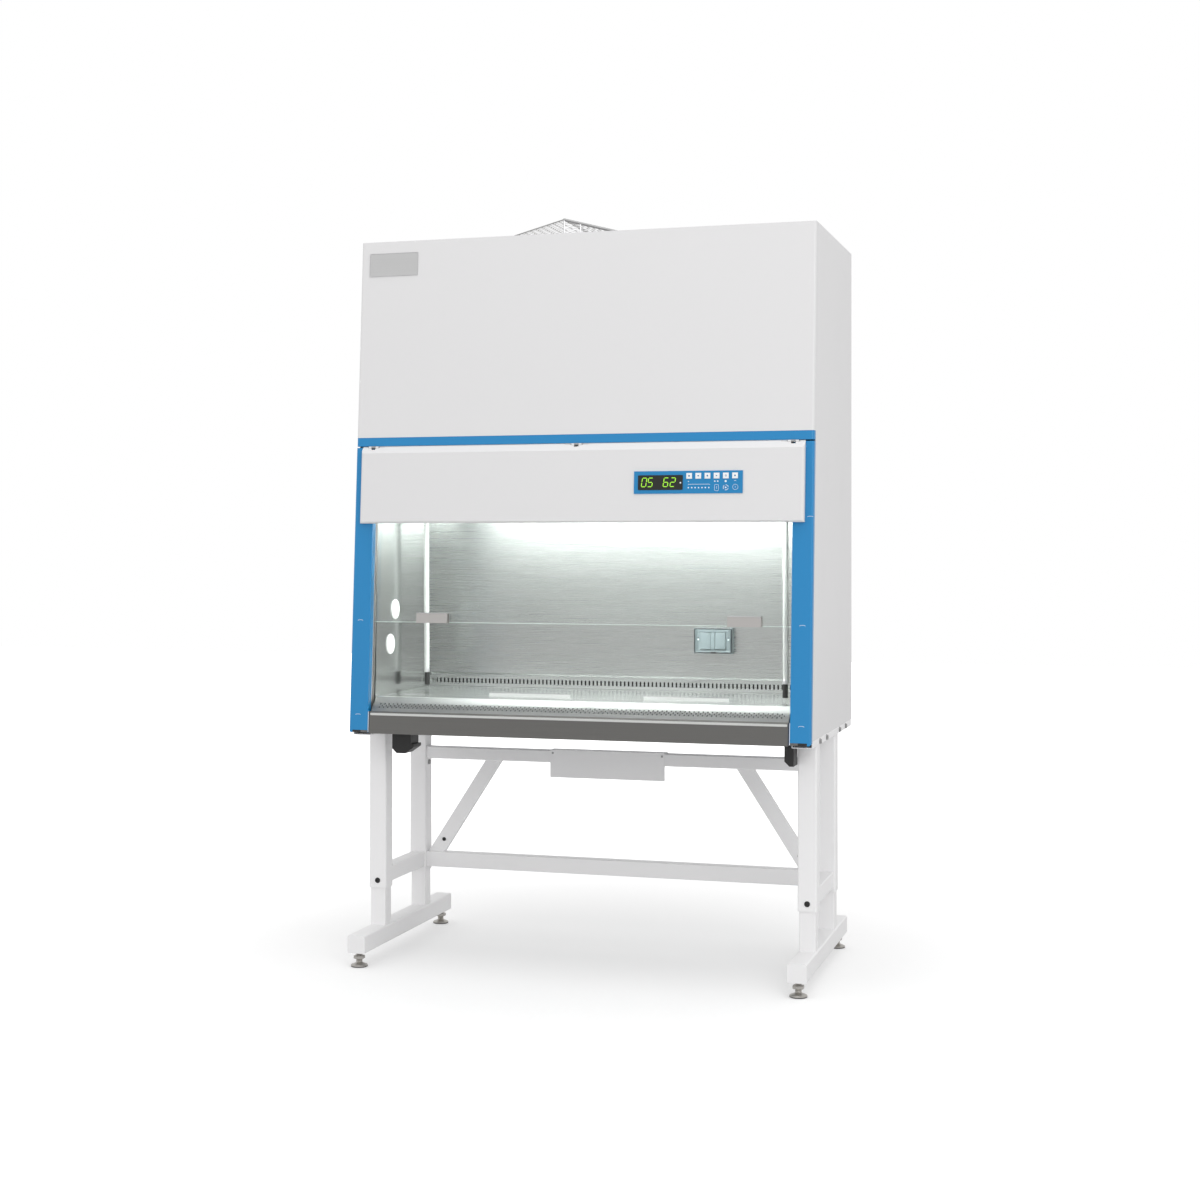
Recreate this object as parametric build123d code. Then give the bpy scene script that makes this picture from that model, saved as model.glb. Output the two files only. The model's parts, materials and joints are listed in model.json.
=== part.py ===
from build123d import *

import os
from math import atan2, cos, degrees, hypot, radians, sin, tan

# Biosafety cabinet on a height-adjustable stand. Millimetres, +Z up, -Y is the front, +X is the
# right-hand side seen from the front. The origin is on the floor, in the middle of the whole object.

# Overall sizes
WIDTH = 1300.0
BODY_DEPTH = 720.0
BEAM_OVERHANG = 30.0
STAND_HEIGHT = 664.0
ARMREST_DROP = 12.0
ARMREST_HEIGHT = 62.0
OPENING_HEIGHT = 525.0
FASCIA_HEIGHT = 218.0
BAND_HEIGHT = 24.0
UPPER_PANEL_HEIGHT = 558.0
FRONT_SLOPE = radians(4.0)

# Sheet metal and clearances
SHEET = 2.0
LINER = 1.5
FIT = 0.3
RUNNING = 0.05
SLIT = 1.5
EPS = 1.0

# Front covers and blue trim
COVER_RETURN = 22.0
COVER_RADIUS = 7.5
COLUMN_WIDTH = 55.0
COLUMN_RADIUS = 5.0
COLUMN_CUT = 5.0
COLUMN_NOTCH_HEIGHT = 7.0
COLUMN_NOTCH_INSET = 10.0
BADGE_WIDTH = 146.0
BADGE_HEIGHT = 66.0
BADGE_INSET = 25.5
BADGE_DROP = 33.0
BADGE_THICK = 1.2

# Hinged fascia hood
HOOD_INSET = 22.0
HOOD_PROUD = 20.0
HOOD_GAP = 1.0
HOOD_WALL = 2.5
HOOD_CHAMFER = 19.0
HOOD_LIP = 5.0
HOOD_RADIUS = 8.0
HINGE_SPAN = 596.0
HINGE_OUT = 4.5
HINGE_DROP = 4.0
PIN_RADIUS = 1.6
PIN_LENGTH = 34.0
KNUCKLE_RADIUS = 3.3
KNUCKLE_LENGTH = 12.0
EAR_LENGTH = 8.0

# Control plate with its display and six buttons
PLATE_CENTRE = 316.5
PLATE_WIDTH = 297.0
PLATE_HEIGHT = 60.5
PLATE_RAISE = 77.0
PLATE_THICK = 2.5
WINDOW_WIDTH = 122.0
WINDOW_HEIGHT = 38.5
WINDOW_INSET = 12.0
WINDOW_THICK = 1.0
BUTTON_SIZE = 15.4
BUTTON_PITCH = 24.9
BUTTON_COUNT = 6
BUTTON_INSET = 152.0
BUTTON_DROP = 13.5
BUTTON_PROUD = 1.6
BUTTON_DEPTH = 2.8

# Armrest, air grille and work tray
ARMREST_GAP = 5.5
ARMREST_DEPTH = 55.0
ARMREST_LIP = 8.0
ARMREST_BULGE = 4.0
TRAY_RISE = 38.0
TRAY_SETBACK = 53.0
TRAY_SKIRT = 20.0
TRAY_SIDE_GAP = 2.0
TRAY_BACK_GAP = 3.0
GRILLE_ROWS = 3
GRILLE_ROW_PITCH = 6.5
GRILLE_BAND_RAISE = 24.0
GRILLE_PITCH = 12.5
GRILLE_HOLE = 4.0
GRILLE_HOLE_LENGTH = 6.0
LIFT_LIP_WIDTH = 240.0
LIFT_LIP_HEIGHT = 8.0
LIFT_LIP_BEND = 10.0
LIFT_LIP_CENTRES = (-172.0, 279.0)
LIFT_LIP_SETBACK = 110.0
LEDGE_WIDTH = 18.0

# Work chamber
CHAMBER_SIDE_GAP = 3.0
CHAMBER_DEPTH = 495.0
CHAMBER_HEIGHT = 598.0
DIFFUSER_DROP = 10.0
DIFFUSER_PITCH = 48.0
DIFFUSER_HOLE = 12.0
RETURN_STAND_OFF = 6.0
RETURN_HEIGHT = 36.0
SLOT_PITCH = 12.0
SLOT_WIDTH = 5.0
SLOT_HEIGHT = 15.0
SLOT_RAISE = 10.0
PORT_RADIUS = 14.0
PORT_FLANGE = 29.0
PORT_FLANGE_THICK = 4.0
PORT_PLACES = ((176.0, 179.0), (216.0, 278.0))
PAN_HEIGHT = 36.0
PAN_INSET = 4.0

# Lamps
UV_WALL_GAP = 47.0
UV_LEFT_DEPTH = 353.0
UV_RIGHT_DEPTH = 175.0
UV_TUBE_RADIUS = 6.5
UV_FOOT_RADIUS = 7.5
UV_FOOT_HEIGHT = 37.0
UV_FOOT_RAISE = 13.0
UV_BRACKET = 12.0
LAMP_RADIUS = 11.0
LAMP_SETBACK = 17.0
LAMP_RAISE = 49.0
LAMP_INSET = 90.0
LAMP_SOCKET = 15.0
REFLECTOR_DROP = 195.0
REFLECTOR_THICK = 1.5

# Sliding sash with its lift
SASH_SETBACK = 32.0
SASH_GLASS = 6.0
SASH_LENGTH = 570.0
SASH_OPENING = 247.0
SASH_SIDE_GAP = 1.0
SASH_BITE = 11.0
GUIDE_DEPTH = 22.0
GUIDE_WIDTH = 18.0
GUIDE_TOP_DROP = 49.0
HANDLE_CENTRES = (-416.5, 466.5)
HANDLE_WIDTH = 92.0
HANDLE_HEIGHT = 28.0
HANDLE_DEPTH = 18.0
HANDLE_WALL = 3.0
CLAMP_HEIGHT = 16.0
CLAMP_WALL = 2.0
CLAMP_INSET = 16.0
SHAFT_DROP = 54.0
SHAFT_RADIUS = 8.0
PULLEY_RADIUS = 25.0
PULLEY_WIDTH = 14.0
PULLEY_GROOVE = 3.0
INNER_PULLEY_INSET = 30.0
BEARING_WIDTH = 10.0
BEARING_DEPTH = 24.0
WEIGHT_X = 22.0
WEIGHT_Y = 50.0
WEIGHT_LENGTH = 520.0
WEIGHT_RAISE = 455.0
CHANNEL_LENGTH = 1035.0
CHANNEL_RAISE = 196.0

# Twin outlet box on the rear wall
OUTLET_CENTRE = 287.0
OUTLET_RAISE = 150.0
OUTLET_WIDTH = 112.0
OUTLET_HEIGHT = 74.0
OUTLET_DEPTH = 26.0
OUTLET_POST = 12.0
FLAP_MARGIN = 13.0
FLAP_SIDE_MARGIN = 18.0
FLAP_THICK = 5.0
FLAP_GAP = 0.5

# Air system behind the upper cover
FILTER_HEIGHT = 110.0
FILTER_RIM = 25.0
FILTER_FRONT_GAP = 58.0
PLENUM_HEIGHT = 168.0
PLENUM_INSET = 35.0
BLOWER_LEFT = -300.0
BLOWER_WIDTH = 400.0
BLOWER_FRONT = -120.0
BLOWER_DEPTH = 320.0
IMPELLER_RADIUS = 120.0
IMPELLER_WIDTH = 220.0
IMPELLER_BLADES = 16
BLADE_THICK = 4.0
BLADE_DEPTH = 28.0
DISC_THICK = 4.0
MOTOR_RADIUS = 62.0
MOTOR_LENGTH = 130.0
MOTOR_SHAFT_RADIUS = 9.0
MOTOR_SHAFT_BITE = 40.0
INLET_RADIUS = 85.0
EXHAUST_CENTRE_X = -93.0
EXHAUST_CENTRE_Y = 60.0
EXHAUST_WIDTH = 430.0
EXHAUST_DEPTH = 330.0
EXHAUST_FILTER_HEIGHT = 120.0
EXHAUST_RIM = 20.0
ELECTRONICS_X = 330.0
ELECTRONICS_WIDTH = 230.0
ELECTRONICS_DEPTH = 130.0
ELECTRONICS_HEIGHT = 250.0
ELECTRONICS_FRONT = -140.0
INLET_BOX_X = 520.0
INLET_BOX_Y = 320.0
INLET_BOX_WIDTH = 50.0
INLET_BOX_DEPTH = 28.0
INLET_BOX_HEIGHT = 12.0

# Exhaust guard on the roof
GUARD_WIDTH = 450.0
GUARD_DEPTH = 340.0
GUARD_HEIGHT = 67.0
GUARD_BAR = 8.0
GUARD_WIRE = 3.0
GUARD_WIRES = 6

# Frame behind the panels
POST = 34.0
POST_INSET = 9.0
FRONT_POST_Y = -82.0
FRONT_BAR_GAP = 2.0
REAR_POST_GAP = 6.0

# Stand
LEG = 52.0
LEG_WALL = 3.0
LEG_RADIUS = 5.0
LEG_INSET = 32.0
LEG_FRONT_Y = -190.0
LEG_SPACING = 321.0
LEG_BOTTOM = 197.0
INNER_LEG = 45.0
INNER_LEG_TOP = 500.0
TOP_RAIL_HEIGHT = 20.0
TOP_RAIL_WIDTH = 56.0
TOP_RAIL_FRONT_GAP = 27.0
TOP_RAIL_BACK_GAP = 8.0
BEAM = 50.0
BEAM_BOTTOM = 40.0
BEAM_LENGTH = 702.0
SIDE_BAR = 40.0
SIDE_BAR_HEIGHT = 45.0
SIDE_BAR_BOTTOM = 208.0
CROSSBAR_DEPTH = 38.0
UPPER_BAR_BOTTOM = 534.0
UPPER_BAR_HEIGHT = 36.0
LOWER_BAR_HEIGHT = 45.0
TUBE_WALL = 2.5
TUBE_RADIUS = 3.0
BRACE_WIDTH = 42.0
BRACE_DEPTH = 20.0
BRACE_TOP_X = 382.0
BRACE_FOOT_INSET = 28.0
BRACE_SCREW_RAISE = 38.0
LAP_PLATE_CENTRE = -27.0
LAP_PLATE_WIDTH = 348.0
LAP_PLATE_DROP = 43.0
LAP_PLATE_THICK = 2.5
FOOT_INSET = 24.0
FOOT_RADIUS = 23.5
FOOT_HEIGHT = 11.0
FOOT_STEM = 9.0
FOOT_STEM_TOP = 76.0
FOOT_NUT_RADIUS = 17.0
FOOT_NUT_HEIGHT = 9.0
FOOT_NUT_RAISE = 11.0
LOCK_SCREW_RAISE = 21.0
LOCK_SCREW_RADIUS = 7.5
LOCK_SCREW_HEAD = 3.0
BOLT_HEAD_RADIUS = 6.5
BOLT_HEAD = 5.0
HOOK_LEFT = -546.0
HOOK_RIGHT = 569.0
HOOK_WIDTH = 56.0
HOOK_DEPTH = 60.0
HOOK_HEIGHT = 72.0
HOOK_FRONT_GAP = 6.0
HOOK_CORNER = 13.0
HOOK_FOOT = 26.0
HOOK_LIP = 8.0
HOOK_LIP_HEIGHT = 8.0
HOOK_NOTCH = 7.0

# Places that follow from the sizes
HALF = WIDTH / 2
BACK_Y = (BODY_DEPTH + BEAM_OVERHANG) / 2
ARMREST_Y = BACK_Y - BODY_DEPTH
CAB_BOTTOM = STAND_HEIGHT
ARM_BOTTOM = CAB_BOTTOM - ARMREST_DROP
ARM_TOP = ARM_BOTTOM + ARMREST_HEIGHT
FASCIA_BOTTOM = ARM_TOP + OPENING_HEIGHT
BAND_BOTTOM = FASCIA_BOTTOM + FASCIA_HEIGHT
BAND_TOP = BAND_BOTTOM + BAND_HEIGHT
CAB_TOP = BAND_TOP + UPPER_PANEL_HEIGHT
COLUMN_INNER = HALF - COLUMN_WIDTH
CHAMBER_HALF = COLUMN_INNER + CHAMBER_SIDE_GAP
LINER_OUTER = CHAMBER_HALF + LINER
CHAMBER_BACK = ARMREST_Y + CHAMBER_DEPTH
PAN_FRONT = ARMREST_Y + ARMREST_DEPTH
PAN_FLOOR = CAB_BOTTOM + SHEET
CHAMBER_TOP = ARM_TOP + CHAMBER_HEIGHT
TRAY_TOP = ARM_TOP + TRAY_RISE
TRAY_FRONT = ARMREST_Y + TRAY_SETBACK
DIFFUSER_Z = CHAMBER_TOP - DIFFUSER_DROP
FILTER_TOP = CHAMBER_TOP + FILTER_HEIGHT
PLENUM_TOP = FILTER_TOP + PLENUM_HEIGHT
ROOF_UNDER = CAB_TOP - SHEET
LEG_X = HALF - LEG_INSET
LEG_REAR_Y = LEG_FRONT_Y + LEG_SPACING
RAIL_BOTTOM = CAB_BOTTOM - TOP_RAIL_HEIGHT
BEAM_FRONT = ARMREST_Y - BEAM_OVERHANG
BEAM_TOP = BEAM_BOTTOM + BEAM
GUIDE_OUTER = COLUMN_INNER + EPS + GUIDE_WIDTH
GUIDE_TOP = CAB_TOP - GUIDE_TOP_DROP
SASH_BOTTOM = ARM_TOP + SASH_OPENING
SASH_TOP = SASH_BOTTOM + SASH_LENGTH * cos(FRONT_SLOPE)
SHAFT_Z = CAB_TOP - SHAFT_DROP
EXHAUST_FILTER_BOTTOM = ROOF_UNDER - EXHAUST_FILTER_HEIGHT
SIDES = (-1, 1)


def front_y(z, out=0.0):
    """Depth of the sloping front face at height z, or of a plane that stands out from it."""
    return ARMREST_Y + (z - ARM_TOP) * tan(FRONT_SLOPE) - out / cos(FRONT_SLOPE)


def block(x0, x1, y0, y1, z0, z1):
    """Plain block between two corners."""
    return Pos((x0 + x1) / 2, (y0 + y1) / 2, (z0 + z1) / 2) * Box(x1 - x0, y1 - y0, z1 - z0)


def side_block(side, x0, x1, y0, y1, z0, z1):
    """Block on the left (side -1) or right (side 1), with x measured away from the middle."""
    return block(min(side * x0, side * x1), max(side * x0, side * x1), y0, y1, z0, z1)


def prism_x(points, x0, x1):
    """Outline of (y, z) points carried along X."""
    face = Plane.YZ.offset(x0) * make_face(Polyline(*points, close=True))
    return extrude(face, amount=x1 - x0, dir=(1, 0, 0))


def prism_y(points, y0, y1):
    """Outline of (x, z) points carried along Y."""
    face = Plane.XZ.offset(-y0) * make_face(Polyline(*points, close=True))
    return extrude(face, amount=y1 - y0, dir=(0, 1, 0))


def out_prism(points, x0, x1):
    """Outline of (out, z) points, out being measured from the sloping front face, carried along X."""
    return prism_x([(front_y(z, out), z) for out, z in points], x0, x1)


def front_slab(x0, x1, z0, z1, out0, out1):
    """Slab parallel to the sloping front face, with level top and bottom."""
    low, high = min(x0, x1), max(x0, x1)
    return out_prism([(out0, z0), (out1, z0), (out1, z1), (out0, z1)], low, high)


def rounded_slab(x0, x1, z0, z1, depth, out, radius, sides=SIDES):
    """Front slab whose upright front edges are rounded, at one or both of its ends."""
    slab = front_slab(x0, x1, z0, z1, out - depth, out)
    ends = [x for x, side in ((min(x0, x1), -1), (max(x0, x1), 1)) if side in sides]
    edges = [
        e
        for e in slab.edges()
        if any(abs(e.center().X - x) < 0.01 for x in ends)
        and e.length > (z1 - z0) * 0.9
        and abs(e.center().Y - front_y(e.center().Z, out)) < 0.01
    ]
    return fillet(edges, radius)


def rod_x(y, z, x0, x1, radius):
    """Cylinder along X."""
    return Pos((x0 + x1) / 2, y, z) * Rot(0, 90, 0) * Cylinder(radius, abs(x1 - x0))


def rod_y(x, z, y0, y1, radius):
    """Cylinder along Y."""
    return Pos(x, (y0 + y1) / 2, z) * Rot(90, 0, 0) * Cylinder(radius, abs(y1 - y0))


def rod_z(x, y, z0, z1, radius):
    """Upright cylinder."""
    return Pos(x, y, (z0 + z1) / 2) * Cylinder(radius, z1 - z0)


def tube_profile(width, height, wall, radius):
    """Section of a square or rectangular tube."""
    inner_radius = max(radius - wall, 0.5)
    inner = RectangleRounded(width - 2 * wall, height - 2 * wall, inner_radius)
    return RectangleRounded(width, height, radius) - inner


def tube_x(profile, x0, x1, y, z):
    """Tube section carried along X."""
    return extrude(Plane.YZ.offset(x0) * Pos(y, z) * profile, amount=x1 - x0, dir=(1, 0, 0))


def tube_y(profile, y0, y1, x, z):
    """Tube section carried along Y."""
    return extrude(Plane.XZ.offset(-y0) * Pos(x, z) * profile, amount=y1 - y0, dir=(0, 1, 0))


def tube_z(profile, z0, z1, x, y):
    """Tube section carried upwards."""
    return extrude(Pos(x, y, z0) * profile, amount=z1 - z0)


def group(solids):
    """Separate solids that share one node."""
    return Compound(children=[s for s in solids])


def centres(span, pitch):
    """Evenly spaced places, as many as fit in the span, centred on zero."""
    count = int(span // pitch)
    return [(i - (count - 1) / 2) * pitch for i in range(count)]


def pierced_sheet(plane, width, height, thick, places, hole):
    """Sheet with a hole at each (x, y) place; plane sets its middle and its outward side."""
    outline = Wire.make_rect(width, height)
    holes = [hole.moved(Location((x, y, 0))) for x, y in places]
    face = Face(outline, holes)
    return extrude(plane * face, amount=thick, dir=plane.z_dir)


# Outer casing


def upper_front_cover():
    z0 = BAND_TOP + FIT
    outer = rounded_slab(-HALF, HALF, z0, CAB_TOP, COVER_RETURN, 0, COVER_RADIUS)
    inner = rounded_slab(
        -HALF + SHEET, HALF - SHEET, z0 - EPS, ROOF_UNDER, COVER_RETURN, -SHEET, COVER_RADIUS - SHEET
    )
    return outer - inner


def badge_plate():
    x0 = -HALF + BADGE_INSET
    z1 = CAB_TOP - BADGE_DROP
    return front_slab(x0, x0 + BADGE_WIDTH, z1 - BADGE_HEIGHT, z1, 0, BADGE_THICK)


def header_trim():
    outer = rounded_slab(-HALF, HALF, BAND_BOTTOM, BAND_TOP, COVER_RETURN, 0, COVER_RADIUS)
    inner = rounded_slab(
        -HALF + SHEET,
        HALF - SHEET,
        BAND_BOTTOM + SHEET,
        BAND_TOP - SHEET,
        COVER_RETURN,
        -SHEET,
        COVER_RADIUS - SHEET,
    )
    return outer - inner


def front_column(side):
    z0 = ARM_BOTTOM + SHEET
    z1 = BAND_BOTTOM - HINGE_DROP
    outer = rounded_slab(
        side * COLUMN_INNER, side * HALF, z0, z1, COVER_RETURN, 0, COLUMN_RADIUS, (side,)
    )
    inner = rounded_slab(
        side * (COLUMN_INNER + SHEET),
        side * (HALF - SHEET),
        z0 - EPS,
        z1 - SHEET,
        COVER_RETURN,
        -SHEET,
        COLUMN_RADIUS - SHEET,
        (side,),
    )
    corner = prism_y(
        [
            (side * (HALF - COLUMN_CUT), z0 - EPS),
            (side * (HALF + EPS), z0 - EPS),
            (side * (HALF + EPS), z0 + COLUMN_CUT),
        ],
        front_y(z0, EPS) - EPS,
        front_y(z0, -COVER_RETURN) + COVER_RETURN,
    )
    notch = side_block(
        side,
        COLUMN_INNER - EPS,
        HALF - COLUMN_NOTCH_INSET,
        front_y(z0, EPS) - EPS,
        front_y(z0, -SHEET) + EPS,
        z0 - EPS,
        z0 + COLUMN_NOTCH_HEIGHT,
    )
    return outer - inner - corner - notch


def side_panel(side):
    edge = -COVER_RETURN - SLIT
    points = [
        (front_y(CAB_BOTTOM, edge), CAB_BOTTOM),
        (front_y(CAB_TOP, edge), CAB_TOP),
        (BACK_Y - SHEET, CAB_TOP),
        (BACK_Y - SHEET, CAB_BOTTOM),
    ]
    x0, x1 = sorted((side * (HALF - SHEET), side * HALF))
    return prism_x(points, x0, x1)


def back_panel():
    return block(-HALF, HALF, BACK_Y - SHEET, BACK_Y, CAB_BOTTOM, CAB_TOP)


def exhaust_opening(margin, z0, z1):
    half_x = EXHAUST_WIDTH / 2 - margin
    half_y = EXHAUST_DEPTH / 2 - margin
    return block(
        EXHAUST_CENTRE_X - half_x,
        EXHAUST_CENTRE_X + half_x,
        EXHAUST_CENTRE_Y - half_y,
        EXHAUST_CENTRE_Y + half_y,
        z0,
        z1,
    )


def roof_panel():
    y0 = front_y(CAB_TOP, -COVER_RETURN) + FIT
    sheet = block(-HALF + SHEET, HALF - SHEET, y0, BACK_Y - SHEET, ROOF_UNDER, CAB_TOP)
    return sheet - exhaust_opening(EXHAUST_RIM, ROOF_UNDER - EPS, CAB_TOP + EPS)


def base_pan():
    x = HALF - PAN_INSET
    y1 = BACK_Y - SHEET - FIT
    outer = block(-x, x, PAN_FRONT, y1, CAB_BOTTOM, CAB_BOTTOM + PAN_HEIGHT)
    inner = block(
        -x + SHEET, x - SHEET, PAN_FRONT + SHEET, y1 - SHEET, PAN_FLOOR, CAB_BOTTOM + PAN_HEIGHT + EPS
    )
    return outer - inner


def main_frame():
    x0 = HALF - POST_INSET - POST
    x1 = HALF - POST_INSET
    rear0 = BACK_Y - REAR_POST_GAP - POST
    rear1 = BACK_Y - REAR_POST_GAP
    bar_y = EXHAUST_CENTRE_Y - EXHAUST_DEPTH / 2 - FRONT_BAR_GAP - POST / 2
    profile = tube_profile(POST, POST, TUBE_WALL, TUBE_RADIUS)
    solids = []
    for side in SIDES:
        x = side * (x0 + x1) / 2
        solids.append(tube_z(profile, PAN_FLOOR, ROOF_UNDER - POST, x, (rear0 + rear1) / 2))
        solids.append(tube_z(profile, PAN_FLOOR, ROOF_UNDER - POST, x, FRONT_POST_Y))
        solids.append(tube_y(profile, bar_y - POST / 2, rear1, x, ROOF_UNDER - POST / 2))
    solids.append(tube_x(profile, -x0, x0, (rear0 + rear1) / 2, ROOF_UNDER - POST / 2))
    solids.append(tube_x(profile, -x0, x0, bar_y, ROOF_UNDER - POST / 2))
    y = shaft_y()
    for side in SIDES:
        x = side * (COLUMN_INNER - BEARING_WIDTH / 2)
        bearing = block(
            x - BEARING_WIDTH / 2,
            x + BEARING_WIDTH / 2,
            y - BEARING_DEPTH / 2,
            y + BEARING_DEPTH / 2,
            SHAFT_Z - BEARING_DEPTH / 2,
            ROOF_UNDER,
        )
        arm = block(
            x - BEARING_WIDTH / 2,
            x + BEARING_WIDTH / 2,
            y + BEARING_DEPTH / 2,
            bar_y - POST / 2,
            ROOF_UNDER - POST / 2,
            ROOF_UNDER,
        )
        bore = rod_x(y, SHAFT_Z, x - BEARING_WIDTH, x + BEARING_WIDTH, SHAFT_RADIUS + RUNNING)
        solids.append(bearing + arm - bore)
    return group(solids)


# Hinged fascia hood and its controls


def hinge_places():
    return [(-HINGE_SPAN, 0.0), (0.0, 0.0), (HINGE_SPAN, 0.0)]


def hinge_axis():
    z = BAND_BOTTOM - HINGE_DROP
    return front_y(z, HINGE_OUT), z


def fascia_hood():
    half = HALF - HOOD_INSET
    top = BAND_BOTTOM - HINGE_DROP / 2
    out = HOOD_PROUD
    wall = HOOD_WALL
    outer = out_prism(
        [
            (HOOD_GAP, top),
            (HOOD_GAP + 2, top),
            (out, top - HOOD_CHAMFER),
            (out, FASCIA_BOTTOM + HOOD_LIP),
            (out - HOOD_LIP, FASCIA_BOTTOM),
            (HOOD_GAP, FASCIA_BOTTOM),
        ],
        -half,
        half,
    )
    corners = [
        e
        for e in outer.edges()
        if abs(abs(e.center().X) - half) < 0.01
        and e.length > FASCIA_HEIGHT / 2
        and abs(e.center().Y - front_y(e.center().Z, out)) < 0.01
    ]
    outer = fillet(corners, HOOD_RADIUS)
    inner = out_prism(
        [
            (HOOD_GAP - EPS, top - wall),
            (HOOD_GAP + 1, top - wall),
            (out - wall, top - HOOD_CHAMFER - wall / 2),
            (out - wall, FASCIA_BOTTOM + HOOD_LIP + wall / 2),
            (out - HOOD_LIP - wall / 2, FASCIA_BOTTOM + wall),
            (HOOD_GAP - EPS, FASCIA_BOTTOM + wall),
        ],
        -half + HOOD_RADIUS,
        half - HOOD_RADIUS,
    )
    hood = outer - inner
    y, z = hinge_axis()
    for x, _ in hinge_places():
        reach = KNUCKLE_LENGTH / 2 + FIT + EAR_LENGTH
        hood += rod_x(y, z, x - reach, x + reach, KNUCKLE_RADIUS)
        hood -= rod_x(y, z, x - PIN_LENGTH, x + PIN_LENGTH, PIN_RADIUS + RUNNING)
        hood -= block(
            x - KNUCKLE_LENGTH / 2 - FIT,
            x + KNUCKLE_LENGTH / 2 + FIT,
            y - KNUCKLE_RADIUS * 2,
            y + KNUCKLE_RADIUS * 2,
            z - KNUCKLE_RADIUS * 2,
            z + KNUCKLE_RADIUS * 2,
        )
    return hood


def hood_hinges():
    y, z = hinge_axis()
    solids = []
    for x, _ in hinge_places():
        half = KNUCKLE_LENGTH / 2
        knuckle = rod_x(y, z, x - half, x + half, KNUCKLE_RADIUS)
        knuckle += block(x - half, x + half, y, y + HINGE_OUT + SHEET, z + EPS, BAND_BOTTOM)
        knuckle += rod_x(y, z, x - PIN_LENGTH / 2, x + PIN_LENGTH / 2, PIN_RADIUS)
        solids.append(knuckle)
    return group(solids)


def plate_bottom():
    return FASCIA_BOTTOM + PLATE_RAISE


def button_places():
    first = PLATE_CENTRE - PLATE_WIDTH / 2 + BUTTON_INSET
    z = plate_bottom() + PLATE_HEIGHT - BUTTON_DROP
    return [(first + i * BUTTON_PITCH, z) for i in range(BUTTON_COUNT)]


def control_plate():
    x0 = PLATE_CENTRE - PLATE_WIDTH / 2
    z0 = plate_bottom()
    plate = front_slab(
        x0, x0 + PLATE_WIDTH, z0, z0 + PLATE_HEIGHT, HOOD_PROUD, HOOD_PROUD + PLATE_THICK
    )
    half = BUTTON_SIZE / 2 + FIT
    for x, z in button_places():
        plate -= front_slab(
            x - half, x + half, z - half, z + half, HOOD_PROUD - EPS, HOOD_PROUD + PLATE_THICK + EPS
        )
    return plate


def display_window():
    x0 = PLATE_CENTRE - PLATE_WIDTH / 2 + WINDOW_INSET
    z0 = plate_bottom() + (PLATE_HEIGHT - WINDOW_HEIGHT) / 2
    out = HOOD_PROUD + PLATE_THICK
    return front_slab(x0, x0 + WINDOW_WIDTH, z0, z0 + WINDOW_HEIGHT, out, out + WINDOW_THICK)


def button(index):
    x, z = button_places()[index]
    half = BUTTON_SIZE / 2
    out = HOOD_PROUD + PLATE_THICK + BUTTON_PROUD
    return front_slab(x - half, x + half, z - half, z + half, out - BUTTON_DEPTH, out)


# Armrest, grille, tray and chamber


def armrest():
    half = COLUMN_INNER - ARMREST_GAP
    y1 = PAN_FRONT
    outer = prism_x(
        [
            (front_y(ARM_BOTTOM), ARM_BOTTOM),
            (front_y(ARM_TOP - ARMREST_BULGE), ARM_TOP - ARMREST_BULGE),
            (front_y(ARM_TOP) + ARMREST_BULGE, ARM_TOP),
            (ARMREST_Y + ARMREST_LIP, ARM_TOP),
            (ARMREST_Y + ARMREST_LIP, ARM_TOP - SHEET),
            (front_y(ARM_TOP) + ARMREST_BULGE + 1, ARM_TOP - SHEET),
            (front_y(ARM_TOP - ARMREST_BULGE) + SHEET, ARM_TOP - ARMREST_BULGE - 1),
            (front_y(ARM_BOTTOM) + SHEET, ARM_BOTTOM + SHEET),
            (y1 - SHEET, ARM_BOTTOM + SHEET),
            (y1 - SHEET, CAB_BOTTOM + PAN_HEIGHT),
            (y1, CAB_BOTTOM + PAN_HEIGHT),
            (y1, ARM_BOTTOM),
        ],
        -half,
        half,
    )
    return outer


def front_grille():
    half = COLUMN_INNER - ARMREST_GAP
    y0 = ARMREST_Y + ARMREST_LIP + FIT
    y1 = TRAY_FRONT - EPS
    z0 = ARM_TOP - SHEET + FIT
    z1 = TRAY_TOP - EPS
    run = y1 - y0
    rise = z1 - z0
    length = hypot(run, rise)
    plane = Plane(
        origin=(0, (y0 + y1) / 2, (z0 + z1) / 2), x_dir=(1, 0, 0), z_dir=(0, -rise, run)
    )
    hole = SlotOverall(GRILLE_HOLE_LENGTH, GRILLE_HOLE, rotation=90).face().outer_wire()
    places = []
    for row in range(GRILLE_ROWS):
        shift = GRILLE_PITCH / 2 if row % 2 else 0.0
        y = GRILLE_BAND_RAISE - length / 2 + (row - (GRILLE_ROWS - 1) / 2) * GRILLE_ROW_PITCH
        places += [(x + shift, y) for x in centres(2 * half - 2 * GRILLE_PITCH, GRILLE_PITCH)]
    sheet = pierced_sheet(plane, 2 * half, length, -LINER, places, hole)
    leg = block(-half, half, y1 - LINER, y1, CAB_BOTTOM + PAN_HEIGHT / 2 + EPS, z1 - EPS)
    leg = leg & block(-half, half, y1 - LINER, y1, CAB_BOTTOM, z1 - LINER)
    return sheet + leg


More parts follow.
